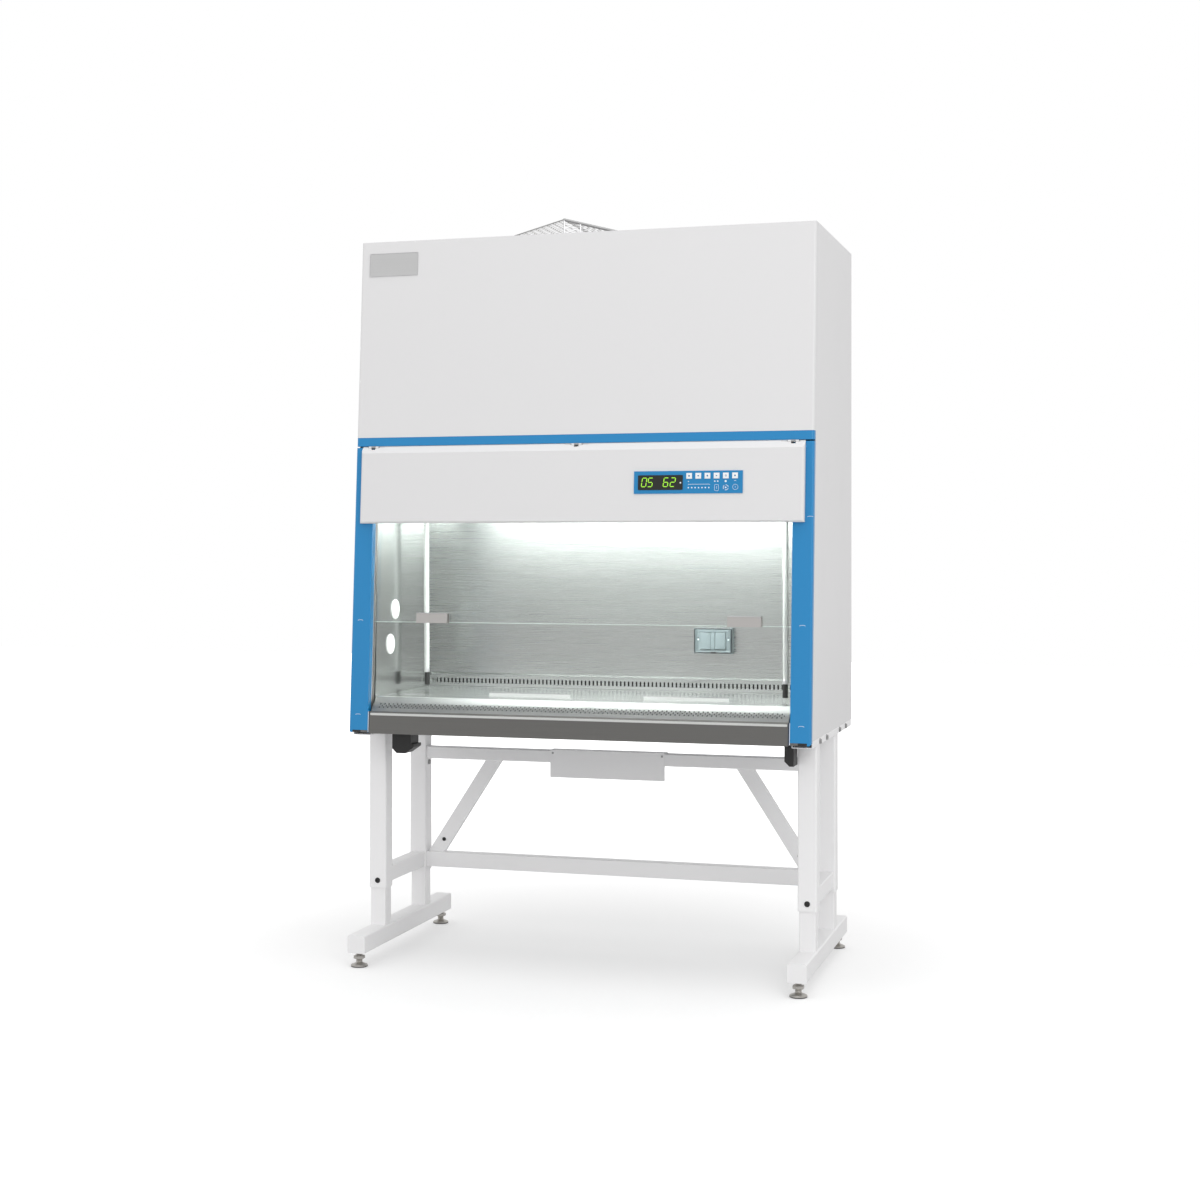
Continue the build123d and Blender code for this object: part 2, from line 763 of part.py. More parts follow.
def work_tray():
    half = CHAMBER_HALF - TRAY_SIDE_GAP
    y0 = TRAY_FRONT
    y1 = CHAMBER_BACK - RETURN_STAND_OFF - LINER - TRAY_BACK_GAP
    outer = block(-half, half, y0, y1, TRAY_TOP - TRAY_SKIRT, TRAY_TOP)
    inner = block(
        -half + SHEET,
        half - SHEET,
        y0 + SHEET,
        y1 - SHEET,
        TRAY_TOP - TRAY_SKIRT - EPS,
        TRAY_TOP - SHEET,
    )
    tray = outer - inner
    for x in LIFT_LIP_CENTRES:
        y = TRAY_FRONT + LIFT_LIP_SETBACK
        top = TRAY_TOP + LIFT_LIP_HEIGHT
        lip = block(x - LIFT_LIP_WIDTH / 2, x + LIFT_LIP_WIDTH / 2, y, y + SHEET, TRAY_TOP, top)
        lip += block(
            x - LIFT_LIP_WIDTH / 2, x + LIFT_LIP_WIDTH / 2, y, y + LIFT_LIP_BEND, top - SHEET, top
        )
        tray += lip
    return tray


def chamber_side_wall(side):
    y_front = -COVER_RETURN - GUIDE_DEPTH - SHEET
    z0 = PAN_FLOOR
    z1 = CHAMBER_TOP
    low_y = max(front_y(z0, y_front), PAN_FRONT + SHEET + EPS)
    points = [(low_y, z0), (front_y(z1, y_front) + EPS, z1), (CHAMBER_BACK, z1), (CHAMBER_BACK, z0)]
    x0, x1 = sorted((side * CHAMBER_HALF, side * LINER_OUTER))
    wall = prism_x(points, x0, x1)
    top = TRAY_TOP - TRAY_SKIRT - FIT
    ledge = side_block(
        side,
        CHAMBER_HALF - LEDGE_WIDTH,
        CHAMBER_HALF,
        TRAY_FRONT + SHEET,
        CHAMBER_BACK,
        top - SHEET,
        top,
    )
    wall += ledge
    for depth, rise in PORT_PLACES:
        hole = rod_x(ARMREST_Y + depth, ARM_TOP + rise, x0 - EPS, x1 + EPS, PORT_RADIUS + FIT)
        wall -= hole
    return wall


def port_plugs():
    solids = []
    for side in SIDES:
        for depth, rise in PORT_PLACES:
            y = ARMREST_Y + depth
            z = ARM_TOP + rise
            face = CHAMBER_HALF - PORT_FLANGE_THICK
            plug = rod_x(y, z, side * face, side * CHAMBER_HALF, PORT_FLANGE)
            end = HALF - SHEET - FIT
            plug += rod_x(y, z, side * CHAMBER_HALF, side * end, PORT_RADIUS - RUNNING)
            solids.append(plug)
    return group(solids)


def chamber_back_wall():
    wall = block(
        -LINER_OUTER, LINER_OUTER, CHAMBER_BACK, CHAMBER_BACK + LINER, PAN_FLOOR, CHAMBER_TOP
    )
    window = block(
        -CHAMBER_HALF + 2 * SLOT_HEIGHT,
        CHAMBER_HALF - 2 * SLOT_HEIGHT,
        CHAMBER_BACK - EPS,
        CHAMBER_BACK + LINER + EPS,
        TRAY_TOP + SLOT_RAISE / 2,
        TRAY_TOP + SLOT_RAISE + SLOT_HEIGHT,
    )
    return wall - window


def chamber_liner():
    return chamber_back_wall() + chamber_side_wall(-1) + chamber_side_wall(1)


def rear_return_grille():
    half = CHAMBER_HALF - FIT
    y = CHAMBER_BACK - RETURN_STAND_OFF
    z0 = TRAY_TOP - TRAY_SKIRT
    z1 = TRAY_TOP + RETURN_HEIGHT
    middle = (z0 + z1) / 2
    plane = Plane(origin=(0, y, middle), x_dir=(1, 0, 0), z_dir=(0, -1, 0))
    slot = SlotOverall(SLOT_HEIGHT, SLOT_WIDTH, rotation=90).face().outer_wire()
    z_slot = TRAY_TOP + SLOT_RAISE + SLOT_HEIGHT / 2 - middle
    places = [(x, z_slot) for x in centres(2 * half - SLOT_PITCH, SLOT_PITCH)]
    sheet = pierced_sheet(plane, 2 * half, z1 - z0, LINER, places, slot)
    fold = prism_x(
        [
            (y, z1),
            (y - LINER, z1),
            (CHAMBER_BACK, z1 + RETURN_STAND_OFF / 2 + LINER),
            (CHAMBER_BACK, z1 + RETURN_STAND_OFF / 2),
        ],
        -half,
        half,
    )
    return sheet + fold


def diffuser():
    half = CHAMBER_HALF - FIT
    y0 = front_y(DIFFUSER_Z, -COVER_RETURN - GUIDE_DEPTH - SHEET) + SHEET
    y1 = CHAMBER_BACK - FIT
    plane = Plane(origin=(0, (y0 + y1) / 2, DIFFUSER_Z), x_dir=(1, 0, 0), z_dir=(0, 0, 1))
    hole = Wire.make_circle(DIFFUSER_HOLE)
    places = [
        (x, y)
        for x in centres(2 * half - DIFFUSER_PITCH, DIFFUSER_PITCH)
        for y in centres(y1 - y0 - DIFFUSER_PITCH, DIFFUSER_PITCH)
    ]
    return pierced_sheet(plane, 2 * half, y1 - y0, SHEET, places, hole)


# Lamps


def uv_places():
    x = CHAMBER_HALF - UV_WALL_GAP
    return [(-1, -x, ARMREST_Y + UV_LEFT_DEPTH), (1, x, ARMREST_Y + UV_RIGHT_DEPTH)]


def uv_tubes():
    z0 = TRAY_TOP + UV_FOOT_RAISE + UV_FOOT_HEIGHT
    z1 = DIFFUSER_Z - UV_FOOT_HEIGHT
    return group([rod_z(x, y, z0, z1, UV_TUBE_RADIUS) for _, x, y in uv_places()])


def uv_holders():
    solids = []
    z0 = TRAY_TOP + UV_FOOT_RAISE
    z1 = DIFFUSER_Z
    for side, x, y in uv_places():
        top = rod_z(x, y, z1 - UV_FOOT_HEIGHT, z1, UV_FOOT_RADIUS)
        arm = side_block(
            side,
            abs(x),
            CHAMBER_HALF,
            y - UV_BRACKET / 2,
            y + UV_BRACKET / 2,
            z1 - UV_BRACKET * 2,
            z1 - UV_BRACKET,
        )
        solids.append(top + arm)
        solids.append(rod_z(x, y, z0, z0 + UV_FOOT_HEIGHT, UV_FOOT_RADIUS))
    return group(solids)


def lamp_reflector():
    half = COLUMN_INNER - EPS
    z0 = BAND_BOTTOM - REFLECTOR_DROP
    out = -HOOD_WALL
    sheet = front_slab(-half, half, z0, BAND_BOTTOM, out - REFLECTOR_THICK, out)
    return sheet + front_slab(
        -half, half, BAND_BOTTOM - REFLECTOR_THICK, BAND_BOTTOM, out - COVER_RETURN / 2, out
    )


def lamp_tube():
    z = FASCIA_BOTTOM + LAMP_RAISE
    y = front_y(z, -LAMP_SETBACK)
    half = COLUMN_INNER - LAMP_INSET
    tube = rod_x(y, z, -half, half, LAMP_RADIUS)
    front = -HOOD_WALL - REFLECTOR_THICK
    for side in SIDES:
        x0, x1 = sorted((side * half, side * (half + LAMP_SOCKET)))
        tube += front_slab(x0, x1, z - LAMP_SOCKET, z + LAMP_SOCKET, -LAMP_SETBACK - LAMP_RADIUS + SHEET, front)
    return tube


# Sash and its lift


def sash_glass():
    half = COLUMN_INNER + SASH_BITE
    out = -SASH_SETBACK
    return front_slab(-half, half, SASH_BOTTOM, SASH_TOP, out - SASH_GLASS, out)


def sash_fittings():
    solids = []
    out = -SASH_SETBACK
    wall = HANDLE_WALL
    for x in HANDLE_CENTRES:
        x0 = x - HANDLE_WIDTH / 2
        x1 = x + HANDLE_WIDTH / 2
        z1 = SASH_BOTTOM + HANDLE_HEIGHT
        outer = front_slab(x0, x1, SASH_BOTTOM, z1, out, out + HANDLE_DEPTH)
        cavity = front_slab(
            x0 - EPS, x1 + EPS, SASH_BOTTOM - EPS, z1 - wall, out + wall, out + HANDLE_DEPTH - wall
        )
        solids.append(outer - cavity)
    half = COLUMN_INNER - CLAMP_INSET
    for out0, out1 in ((out, out + CLAMP_WALL), (out - SASH_GLASS - CLAMP_WALL, out - SASH_GLASS)):
        solids.append(front_slab(-half, half, SASH_TOP - CLAMP_HEIGHT, SASH_TOP, out0, out1))
    return group(solids)


def sash_guide(side):
    x0 = COLUMN_INNER + EPS
    outer = front_slab(
        side * x0, side * GUIDE_OUTER, ARM_TOP, GUIDE_TOP, -COVER_RETURN - GUIDE_DEPTH, -COVER_RETURN
    )
    slot = front_slab(
        side * (x0 - EPS),
        side * (COLUMN_INNER + SASH_BITE + SASH_SIDE_GAP),
        ARM_TOP - EPS,
        GUIDE_TOP + EPS,
        -SASH_SETBACK - SASH_GLASS - FIT,
        -SASH_SETBACK + FIT,
    )
    return outer - slot


def shaft_y():
    return front_y(SHAFT_Z, -SASH_SETBACK - SASH_GLASS / 2) + PULLEY_RADIUS


def weight_x():
    return HALF - SHEET - LINER - FIT - WEIGHT_X / 2


def lift_shaft():
    y = shaft_y()
    shaft = rod_x(y, SHAFT_Z, -HALF + PULLEY_WIDTH / 2, HALF - PULLEY_WIDTH / 2, SHAFT_RADIUS)
    for x in (COLUMN_INNER - INNER_PULLEY_INSET, weight_x()):
        for side in SIDES:
            x0 = side * x - PULLEY_WIDTH / 2
            x1 = side * x + PULLEY_WIDTH / 2
            wheel = rod_x(y, SHAFT_Z, x0, x1, PULLEY_RADIUS)
            ring = rod_x(y, SHAFT_Z, x0 + PULLEY_GROOVE, x1 - PULLEY_GROOVE, PULLEY_RADIUS + EPS)
            core = rod_x(y, SHAFT_Z, x0, x1, PULLEY_RADIUS - PULLEY_GROOVE)
            shaft += wheel - (ring - core)
    return shaft


def weight_y():
    return shaft_y() + PULLEY_RADIUS


def counterweights():
    z0 = ARM_TOP + WEIGHT_RAISE
    y = weight_y()
    x = weight_x()
    return group(
        [
            side_block(
                side,
                x - WEIGHT_X / 2,
                x + WEIGHT_X / 2,
                y - WEIGHT_Y / 2,
                y + WEIGHT_Y / 2,
                z0,
                z0 + WEIGHT_LENGTH,
            )
            for side in SIDES
        ]
    )


def counterweight_channels():
    solids = []
    y = weight_y()
    x0 = weight_x() - WEIGHT_X / 2
    x1 = weight_x() + WEIGHT_X / 2
    z0 = ARM_TOP + CHANNEL_RAISE
    for side in SIDES:
        outer = side_block(
            side,
            x0 - FIT - LINER,
            x1 + FIT + LINER,
            y - WEIGHT_Y / 2 - FIT - LINER,
            y + WEIGHT_Y / 2 + FIT + LINER,
            z0,
            z0 + CHANNEL_LENGTH,
        )
        inner = side_block(
            side,
            x0 - FIT,
            x1 + FIT,
            y - WEIGHT_Y / 2 - FIT,
            y + WEIGHT_Y / 2 + FIT,
            z0 + LINER,
            z0 + CHANNEL_LENGTH + EPS,
        )
        solids.append(outer - inner)
    return group(solids)


# Outlet box


def outlet_z():
    return ARM_TOP + OUTLET_RAISE


def outlet_box():
    x0 = OUTLET_CENTRE - OUTLET_WIDTH / 2
    z0 = outlet_z()
    y1 = CHAMBER_BACK
    y0 = y1 - OUTLET_DEPTH
    box = block(x0, x0 + OUTLET_WIDTH, y0, y1, z0, z0 + OUTLET_HEIGHT)
    half = OUTLET_POST / 2
    top = z0 + OUTLET_HEIGHT
    post = block(
        OUTLET_CENTRE - half, OUTLET_CENTRE + half, y0 - FLAP_THICK, y0, z0 + FLAP_MARGIN, top - FLAP_MARGIN
    )
    return box + post


def outlet_flap(side):
    y1 = CHAMBER_BACK - OUTLET_DEPTH - FIT
    z0 = outlet_z() + FLAP_MARGIN
    z1 = outlet_z() + OUTLET_HEIGHT - FLAP_MARGIN
    barrel = FLAP_THICK / 2
    axis = OUTLET_CENTRE + side * (OUTLET_POST / 2 + FLAP_GAP + barrel)
    far = OUTLET_CENTRE + side * (OUTLET_WIDTH / 2 - FLAP_SIDE_MARGIN)
    flap = block(min(axis, far), max(axis, far), y1 - FLAP_THICK, y1, z0, z1)
    return flap + rod_z(axis, y1 - barrel, z0, z1, barrel)


# Air system


def filter_front():
    return front_y(CHAMBER_TOP, -FILTER_FRONT_GAP)


def supply_filter():
    half = LINER_OUTER + SHEET
    outer = block(-half, half, filter_front(), CHAMBER_BACK + LINER, CHAMBER_TOP, FILTER_TOP)
    recess = block(
        -half + FILTER_RIM,
        half - FILTER_RIM,
        filter_front() + FILTER_RIM,
        CHAMBER_BACK + LINER - FILTER_RIM,
        FILTER_TOP - FILTER_RIM,
        FILTER_TOP + EPS,
    )
    return outer - recess


def supply_plenum():
    half = LINER_OUTER - PLENUM_INSET
    y0 = filter_front() + PLENUM_INSET
    y1 = CHAMBER_BACK
    outer = block(-half, half, y0, y1, FILTER_TOP, PLENUM_TOP)
    inner = block(
        -half + SHEET, half - SHEET, y0 + SHEET, y1 - SHEET, FILTER_TOP - EPS, PLENUM_TOP - SHEET
    )
    duct = block(
        BLOWER_LEFT + PLENUM_INSET,
        BLOWER_LEFT + BLOWER_WIDTH - PLENUM_INSET,
        BLOWER_FRONT + PLENUM_INSET,
        CHAMBER_BACK - PLENUM_INSET,
        PLENUM_TOP - SHEET - EPS,
        PLENUM_TOP + EPS,
    )
    return outer - inner - duct


def blower_axis():
    y = BLOWER_FRONT + BLOWER_DEPTH / 2
    z = (PLENUM_TOP + EXHAUST_FILTER_BOTTOM) / 2
    return y, z


def blower_housing():
    x0 = BLOWER_LEFT
    x1 = BLOWER_LEFT + BLOWER_WIDTH
    y0 = BLOWER_FRONT
    y1 = BLOWER_FRONT + BLOWER_DEPTH
    z0 = PLENUM_TOP
    z1 = EXHAUST_FILTER_BOTTOM
    box = block(x0, x1, y0, y1, z0, z1)
    box -= block(x0 + SHEET, x1 - SHEET, y0 + SHEET, y1 - SHEET, z0 + SHEET, z1 - SHEET)
    box -= block(
        x0 + PLENUM_INSET,
        x1 - PLENUM_INSET,
        y0 + PLENUM_INSET,
        CHAMBER_BACK - PLENUM_INSET,
        z0 - EPS,
        z0 + SHEET + EPS,
    )
    box -= block(
        x0 + PLENUM_INSET, x1 - PLENUM_INSET, y0 + PLENUM_INSET, y1 - PLENUM_INSET, z1 - SHEET - EPS, z1 + EPS
    )
    y, z = blower_axis()
    box -= rod_x(y, z, x1 - SHEET - EPS, x1 + EPS, INLET_RADIUS)
    box -= rod_x(y, z, x0 - EPS, x0 + SHEET + EPS, MOTOR_SHAFT_RADIUS + SHEET)
    return box


def blower_motor():
    y, z = blower_axis()
    x1 = BLOWER_LEFT
    motor = rod_x(y, z, x1 - MOTOR_LENGTH, x1, MOTOR_RADIUS)
    bore = rod_x(y, z, x1 - MOTOR_SHAFT_BITE, x1 + EPS, MOTOR_SHAFT_RADIUS + RUNNING)
    return motor - bore


def impeller():
    y, z = blower_axis()
    x0 = BLOWER_LEFT + (BLOWER_WIDTH - IMPELLER_WIDTH) / 2
    x1 = x0 + IMPELLER_WIDTH
    wheel = rod_x(y, z, BLOWER_LEFT - MOTOR_SHAFT_BITE + EPS, x0 + DISC_THICK * 2, MOTOR_SHAFT_RADIUS)
    wheel += rod_x(y, z, x0, x0 + DISC_THICK, IMPELLER_RADIUS)
    rim = rod_x(y, z, x1 - DISC_THICK, x1, IMPELLER_RADIUS)
    rim -= rod_x(y, z, x1 - DISC_THICK - EPS, x1 + EPS, IMPELLER_RADIUS - BLADE_DEPTH - DISC_THICK)
    wheel += rim
    blade = block(
        x0 + DISC_THICK,
        x1 - DISC_THICK,
        -BLADE_THICK / 2,
        BLADE_THICK / 2,
        IMPELLER_RADIUS - BLADE_DEPTH,
        IMPELLER_RADIUS - DISC_THICK,
    )
    for i in range(IMPELLER_BLADES):
        turn = 360.0 * i / IMPELLER_BLADES
        wheel += Pos(0, y, z) * Rot(turn, 0, 0) * blade
    return wheel


def exhaust_filter():
    outer = exhaust_opening(0, EXHAUST_FILTER_BOTTOM, ROOF_UNDER)
    return outer - exhaust_opening(EXHAUST_RIM, ROOF_UNDER - EXHAUST_RIM, ROOF_UNDER + EPS)


def electronics_box():
    y0 = ELECTRONICS_FRONT
    x1 = ELECTRONICS_X + ELECTRONICS_WIDTH
    z1 = PLENUM_TOP + ELECTRONICS_HEIGHT
    return block(ELECTRONICS_X, x1, y0, y0 + ELECTRONICS_DEPTH, PLENUM_TOP, z1)


def power_inlet():
    x0 = INLET_BOX_X - INLET_BOX_WIDTH / 2
    y0 = INLET_BOX_Y - INLET_BOX_DEPTH / 2
    z1 = CAB_TOP + INLET_BOX_HEIGHT
    box = block(x0, x0 + INLET_BOX_WIDTH, y0, y0 + INLET_BOX_DEPTH, CAB_TOP, z1)
    socket = block(
        x0 + SHEET * 4,
        x0 + INLET_BOX_WIDTH - SHEET * 4,
        y0 + SHEET * 2,
        y0 + INLET_BOX_DEPTH - SHEET * 2,
        CAB_TOP + SHEET,
        z1 + EPS,
    )
    return box - socket


def slanted_bar(start, end, thick):
    """Square bar from one point to another."""
    a = Vector(*start)
    b = Vector(*end)
    plane = Plane(origin=a, z_dir=b - a)
    return extrude(plane * Rectangle(thick, thick), amount=(b - a).length)


def exhaust_guard():
    """Gabled wire guard: its ridge runs from front to back, with nested wires in each gable."""
    x0 = EXHAUST_CENTRE_X - GUARD_WIDTH / 2
    x1 = EXHAUST_CENTRE_X + GUARD_WIDTH / 2
    y0 = EXHAUST_CENTRE_Y - GUARD_DEPTH / 2
    y1 = EXHAUST_CENTRE_Y + GUARD_DEPTH / 2
    base = CAB_TOP
    half = GUARD_BAR / 2
    foot = base + half
    top = base + GUARD_HEIGHT - half
    frame = block(x0, x1, y0, y1, base, base + GUARD_BAR)
    frame -= block(
        x0 + GUARD_BAR, x1 - GUARD_BAR, y0 + GUARD_BAR, y1 - GUARD_BAR, base - EPS, base + GUARD_BAR + EPS
    )
    middle = EXHAUST_CENTRE_X
    frame += block(middle - half, middle + half, y0, y1, top - half, top + half)
    wire = GUARD_WIRE / 2
    for x in (x0 + half, x1 - half):
        for y in (y0 + half, y1 - half):
            frame += slanted_bar((x, y, foot), (middle, y, top), GUARD_BAR * 0.75)
            frame += block(middle - wire, middle + wire, y - wire, y + wire, foot, top)
        for i in range(1, GUARD_WIRES + 1):
            share = i / (GUARD_WIRES + 1)
            inner = x + (middle - x) * share
            rise = (top - foot) * share
            for y in (y0 + half, y1 - half):
                frame += slanted_bar((inner, y, foot), (middle, y, top - rise), GUARD_WIRE)
            level = foot + rise
            frame += block(inner - wire, inner + wire, y0 + half, y1 - half, level - wire, level + wire)
    return frame


# Stand


def leg_frame(side):
    profile = tube_profile(LEG, LEG, LEG_WALL, LEG_RADIUS)
    x = side * LEG_X
    frame = tube_z(profile, LEG_BOTTOM, RAIL_BOTTOM, x, LEG_FRONT_Y)
    frame += tube_z(profile, LEG_BOTTOM, RAIL_BOTTOM, x, LEG_REAR_Y)
    bar = tube_profile(SIDE_BAR, SIDE_BAR_HEIGHT, TUBE_WALL, TUBE_RADIUS)
    y0 = LEG_FRONT_Y + LEG / 2 - TUBE_WALL
    y1 = LEG_REAR_Y - LEG / 2 + TUBE_WALL
    frame += tube_y(bar, y0, y1, x, SIDE_BAR_BOTTOM + SIDE_BAR_HEIGHT / 2)
    rail = tube_profile(TOP_RAIL_WIDTH, TOP_RAIL_HEIGHT, TUBE_WALL, TUBE_RADIUS)
    rail_x = side * (HALF - TOP_RAIL_WIDTH / 2)
    rail_z = RAIL_BOTTOM + TOP_RAIL_HEIGHT / 2
    frame += tube_y(rail, ARMREST_Y + TOP_RAIL_FRONT_GAP, BACK_Y - TOP_RAIL_BACK_GAP, rail_x, rail_z)
    return frame


def rear_bar_y():
    return LEG_REAR_Y


def bar_half():
    return LEG_X - LEG / 2


def rear_crossbars():
    half = bar_half()
    upper = tube_profile(CROSSBAR_DEPTH, UPPER_BAR_HEIGHT, TUBE_WALL, TUBE_RADIUS)
    lower = tube_profile(CROSSBAR_DEPTH, LOWER_BAR_HEIGHT, TUBE_WALL, TUBE_RADIUS)
    y = rear_bar_y()
    return group(
        [
            tube_x(upper, -half, half, y, UPPER_BAR_BOTTOM + UPPER_BAR_HEIGHT / 2),
            tube_x(lower, -half, half, y, SIDE_BAR_BOTTOM + LOWER_BAR_HEIGHT / 2),
        ]
    )


def brace_bottom():
    return SIDE_BAR_BOTTOM + LOWER_BAR_HEIGHT


def brace_centre(z):
    """Distance of the brace's middle line from the middle of the stand at height z."""
    foot = bar_half() - BRACE_FOOT_INSET
    share = (z - brace_bottom()) / (UPPER_BAR_BOTTOM - brace_bottom())
    return foot + (BRACE_TOP_X - foot) * share


def brace(side):
    z0 = brace_bottom()
    z1 = UPPER_BAR_BOTTOM
    foot = brace_centre(z0)
    angle = atan2(z1 - z0, foot - BRACE_TOP_X)
    half = BRACE_WIDTH / 2 / sin(angle)
    points = [
        (side * (foot - half), z0),
        (side * (foot + half), z0),
        (side * (BRACE_TOP_X + half), z1),
        (side * (BRACE_TOP_X - half), z1),
    ]
    y = rear_bar_y()
    bar = prism_y(points, y - BRACE_DEPTH / 2, y + BRACE_DEPTH / 2)
    limit = bar_half()
    return bar & side_block(side, 0, limit, y - BRACE_DEPTH, y + BRACE_DEPTH, z0, z1)


def lap_plate():
    x0 = LAP_PLATE_CENTRE - LAP_PLATE_WIDTH / 2
    x1 = x0 + LAP_PLATE_WIDTH
    y = rear_bar_y() - CROSSBAR_DEPTH / 2
    top = UPPER_BAR_BOTTOM + UPPER_BAR_HEIGHT
    plate = block(x0, x1, y - LAP_PLATE_THICK, y, UPPER_BAR_BOTTOM - LAP_PLATE_DROP, top)
    plate += block(
        x0, x1, y - LAP_PLATE_THICK, y + CROSSBAR_DEPTH, top, top + LAP_PLATE_THICK
    )
    return plate


def beam_rear():
    return BEAM_FRONT + BEAM_LENGTH


def foot_places():
    return [BEAM_FRONT + FOOT_INSET, beam_rear() - FOOT_INSET]


def foot_frame(side):
    x = side * LEG_X
    profile = tube_profile(LEG, BEAM, LEG_WALL, LEG_RADIUS)
    frame = tube_y(profile, BEAM_FRONT, beam_rear(), x, BEAM_BOTTOM + BEAM / 2)
    wall = LEG_WALL
    for y0 in (BEAM_FRONT, beam_rear() - wall):
        cap = block(
            x - LEG / 2 + wall, x + LEG / 2 - wall, y0, y0 + wall, BEAM_BOTTOM + wall, BEAM_TOP - wall
        )
        frame += cap
    inner = tube_profile(INNER_LEG, INNER_LEG, LEG_WALL, LEG_RADIUS - TUBE_WALL)
    for y in (LEG_FRONT_Y, LEG_REAR_Y):
        frame += tube_z(inner, BEAM_TOP - wall / 2, INNER_LEG_TOP, x, y)
    for y in foot_places():
        frame -= rod_z(x, y, BEAM_BOTTOM - EPS, BEAM_BOTTOM + LEG_WALL + EPS, FOOT_STEM + RUNNING)
    return frame


def levelling_foot(side, place):
    x = side * LEG_X
    y = foot_places()[place]
    foot = rod_z(x, y, 0, FOOT_HEIGHT / 2, FOOT_RADIUS)
    foot += Pos(x, y, FOOT_HEIGHT * 0.75) * Cone(FOOT_RADIUS, FOOT_STEM, FOOT_HEIGHT / 2)
    foot += rod_z(x, y, 0, FOOT_STEM_TOP, FOOT_STEM)
    low = FOOT_HEIGHT + FOOT_NUT_RAISE
    return foot + extrude(Pos(x, y, low) * RegularPolygon(FOOT_NUT_RADIUS, 6), amount=FOOT_NUT_HEIGHT)


def stand_fasteners():
    solids = []
    z = LEG_BOTTOM + LOCK_SCREW_RAISE
    for side in SIDES:
        x = side * LEG_X
        y = LEG_FRONT_Y - LEG / 2
        solids.append(rod_y(x, z, y - LOCK_SCREW_HEAD, y, LOCK_SCREW_RADIUS))
        y = LEG_REAR_Y + LEG / 2
        solids.append(rod_y(x, z, y, y + LOCK_SCREW_HEAD, LOCK_SCREW_RADIUS))
        z_brace = brace_bottom() + BRACE_SCREW_RAISE
        x = side * brace_centre(z_brace)
        y = rear_bar_y() - BRACE_DEPTH / 2
        solids.append(rod_y(x, z_brace, y - LOCK_SCREW_HEAD, y, LOCK_SCREW_RADIUS * 0.8))
        x0, x1 = sorted((side * bar_half(), side * (bar_half() - BOLT_HEAD)))
        z_bolt = UPPER_BAR_BOTTOM - LEG_WALL * 2 - BOLT_HEAD_RADIUS
        solids.append(rod_x(rear_bar_y(), z_bolt, x0, x1, BOLT_HEAD_RADIUS))
        z_rail = RAIL_BOTTOM + TOP_RAIL_HEIGHT / 2
        x0, x1 = sorted((side * HALF, side * (HALF + BOLT_HEAD)))
        for y in rail_bolts():
            solids.append(rod_x(y, z_rail, x0, x1, BOLT_HEAD_RADIUS))
    return group(solids)


def rail_bolts():
    y0 = ARMREST_Y + TOP_RAIL_FRONT_GAP
    y1 = BACK_Y - TOP_RAIL_BACK_GAP
    step = (y1 - y0) / 6
    return [y0 + step, y0 + 2 * step, y1 - 2 * step, y1 - step]


def hose_hooks():
    y0 = PAN_FRONT + HOOK_FRONT_GAP
    y1 = y0 + HOOK_DEPTH
    z1 = CAB_BOTTOM
    z0 = z1 - HOOK_HEIGHT
    x0 = HOOK_LEFT
    x1 = x0 + HOOK_WIDTH
    lip_z = z0 + HOOK_FOOT - HOOK_LIP_HEIGHT
    left = prism_y(
        [
            (x0, z1),
            (x0, z0 + HOOK_CORNER),
            (x0 + HOOK_CORNER, z0),
            (x0 + HOOK_CORNER + HOOK_FOOT, z0),
            (x1 + HOOK_LIP, lip_z),
            (x1 + HOOK_LIP, lip_z + HOOK_LIP_HEIGHT),
            (x1, lip_z + HOOK_LIP_HEIGHT),
            (x1, z1),
        ],
        y0,
        y1,
    )
    x0 = HOOK_RIGHT
    x1 = HALF - TOP_RAIL_WIDTH - FIT
    right = prism_y(
        [(x0, z1), (x0, z0 + HOOK_CORNER), (x0 + HOOK_CORNER, z0), (x1, z0), (x1, z1)], y0, y1
    )
    right -= rod_y((x0 + x1) / 2, ARM_BOTTOM, y0 - EPS, y1 + EPS, HOOK_NOTCH)
    return group([left, right])


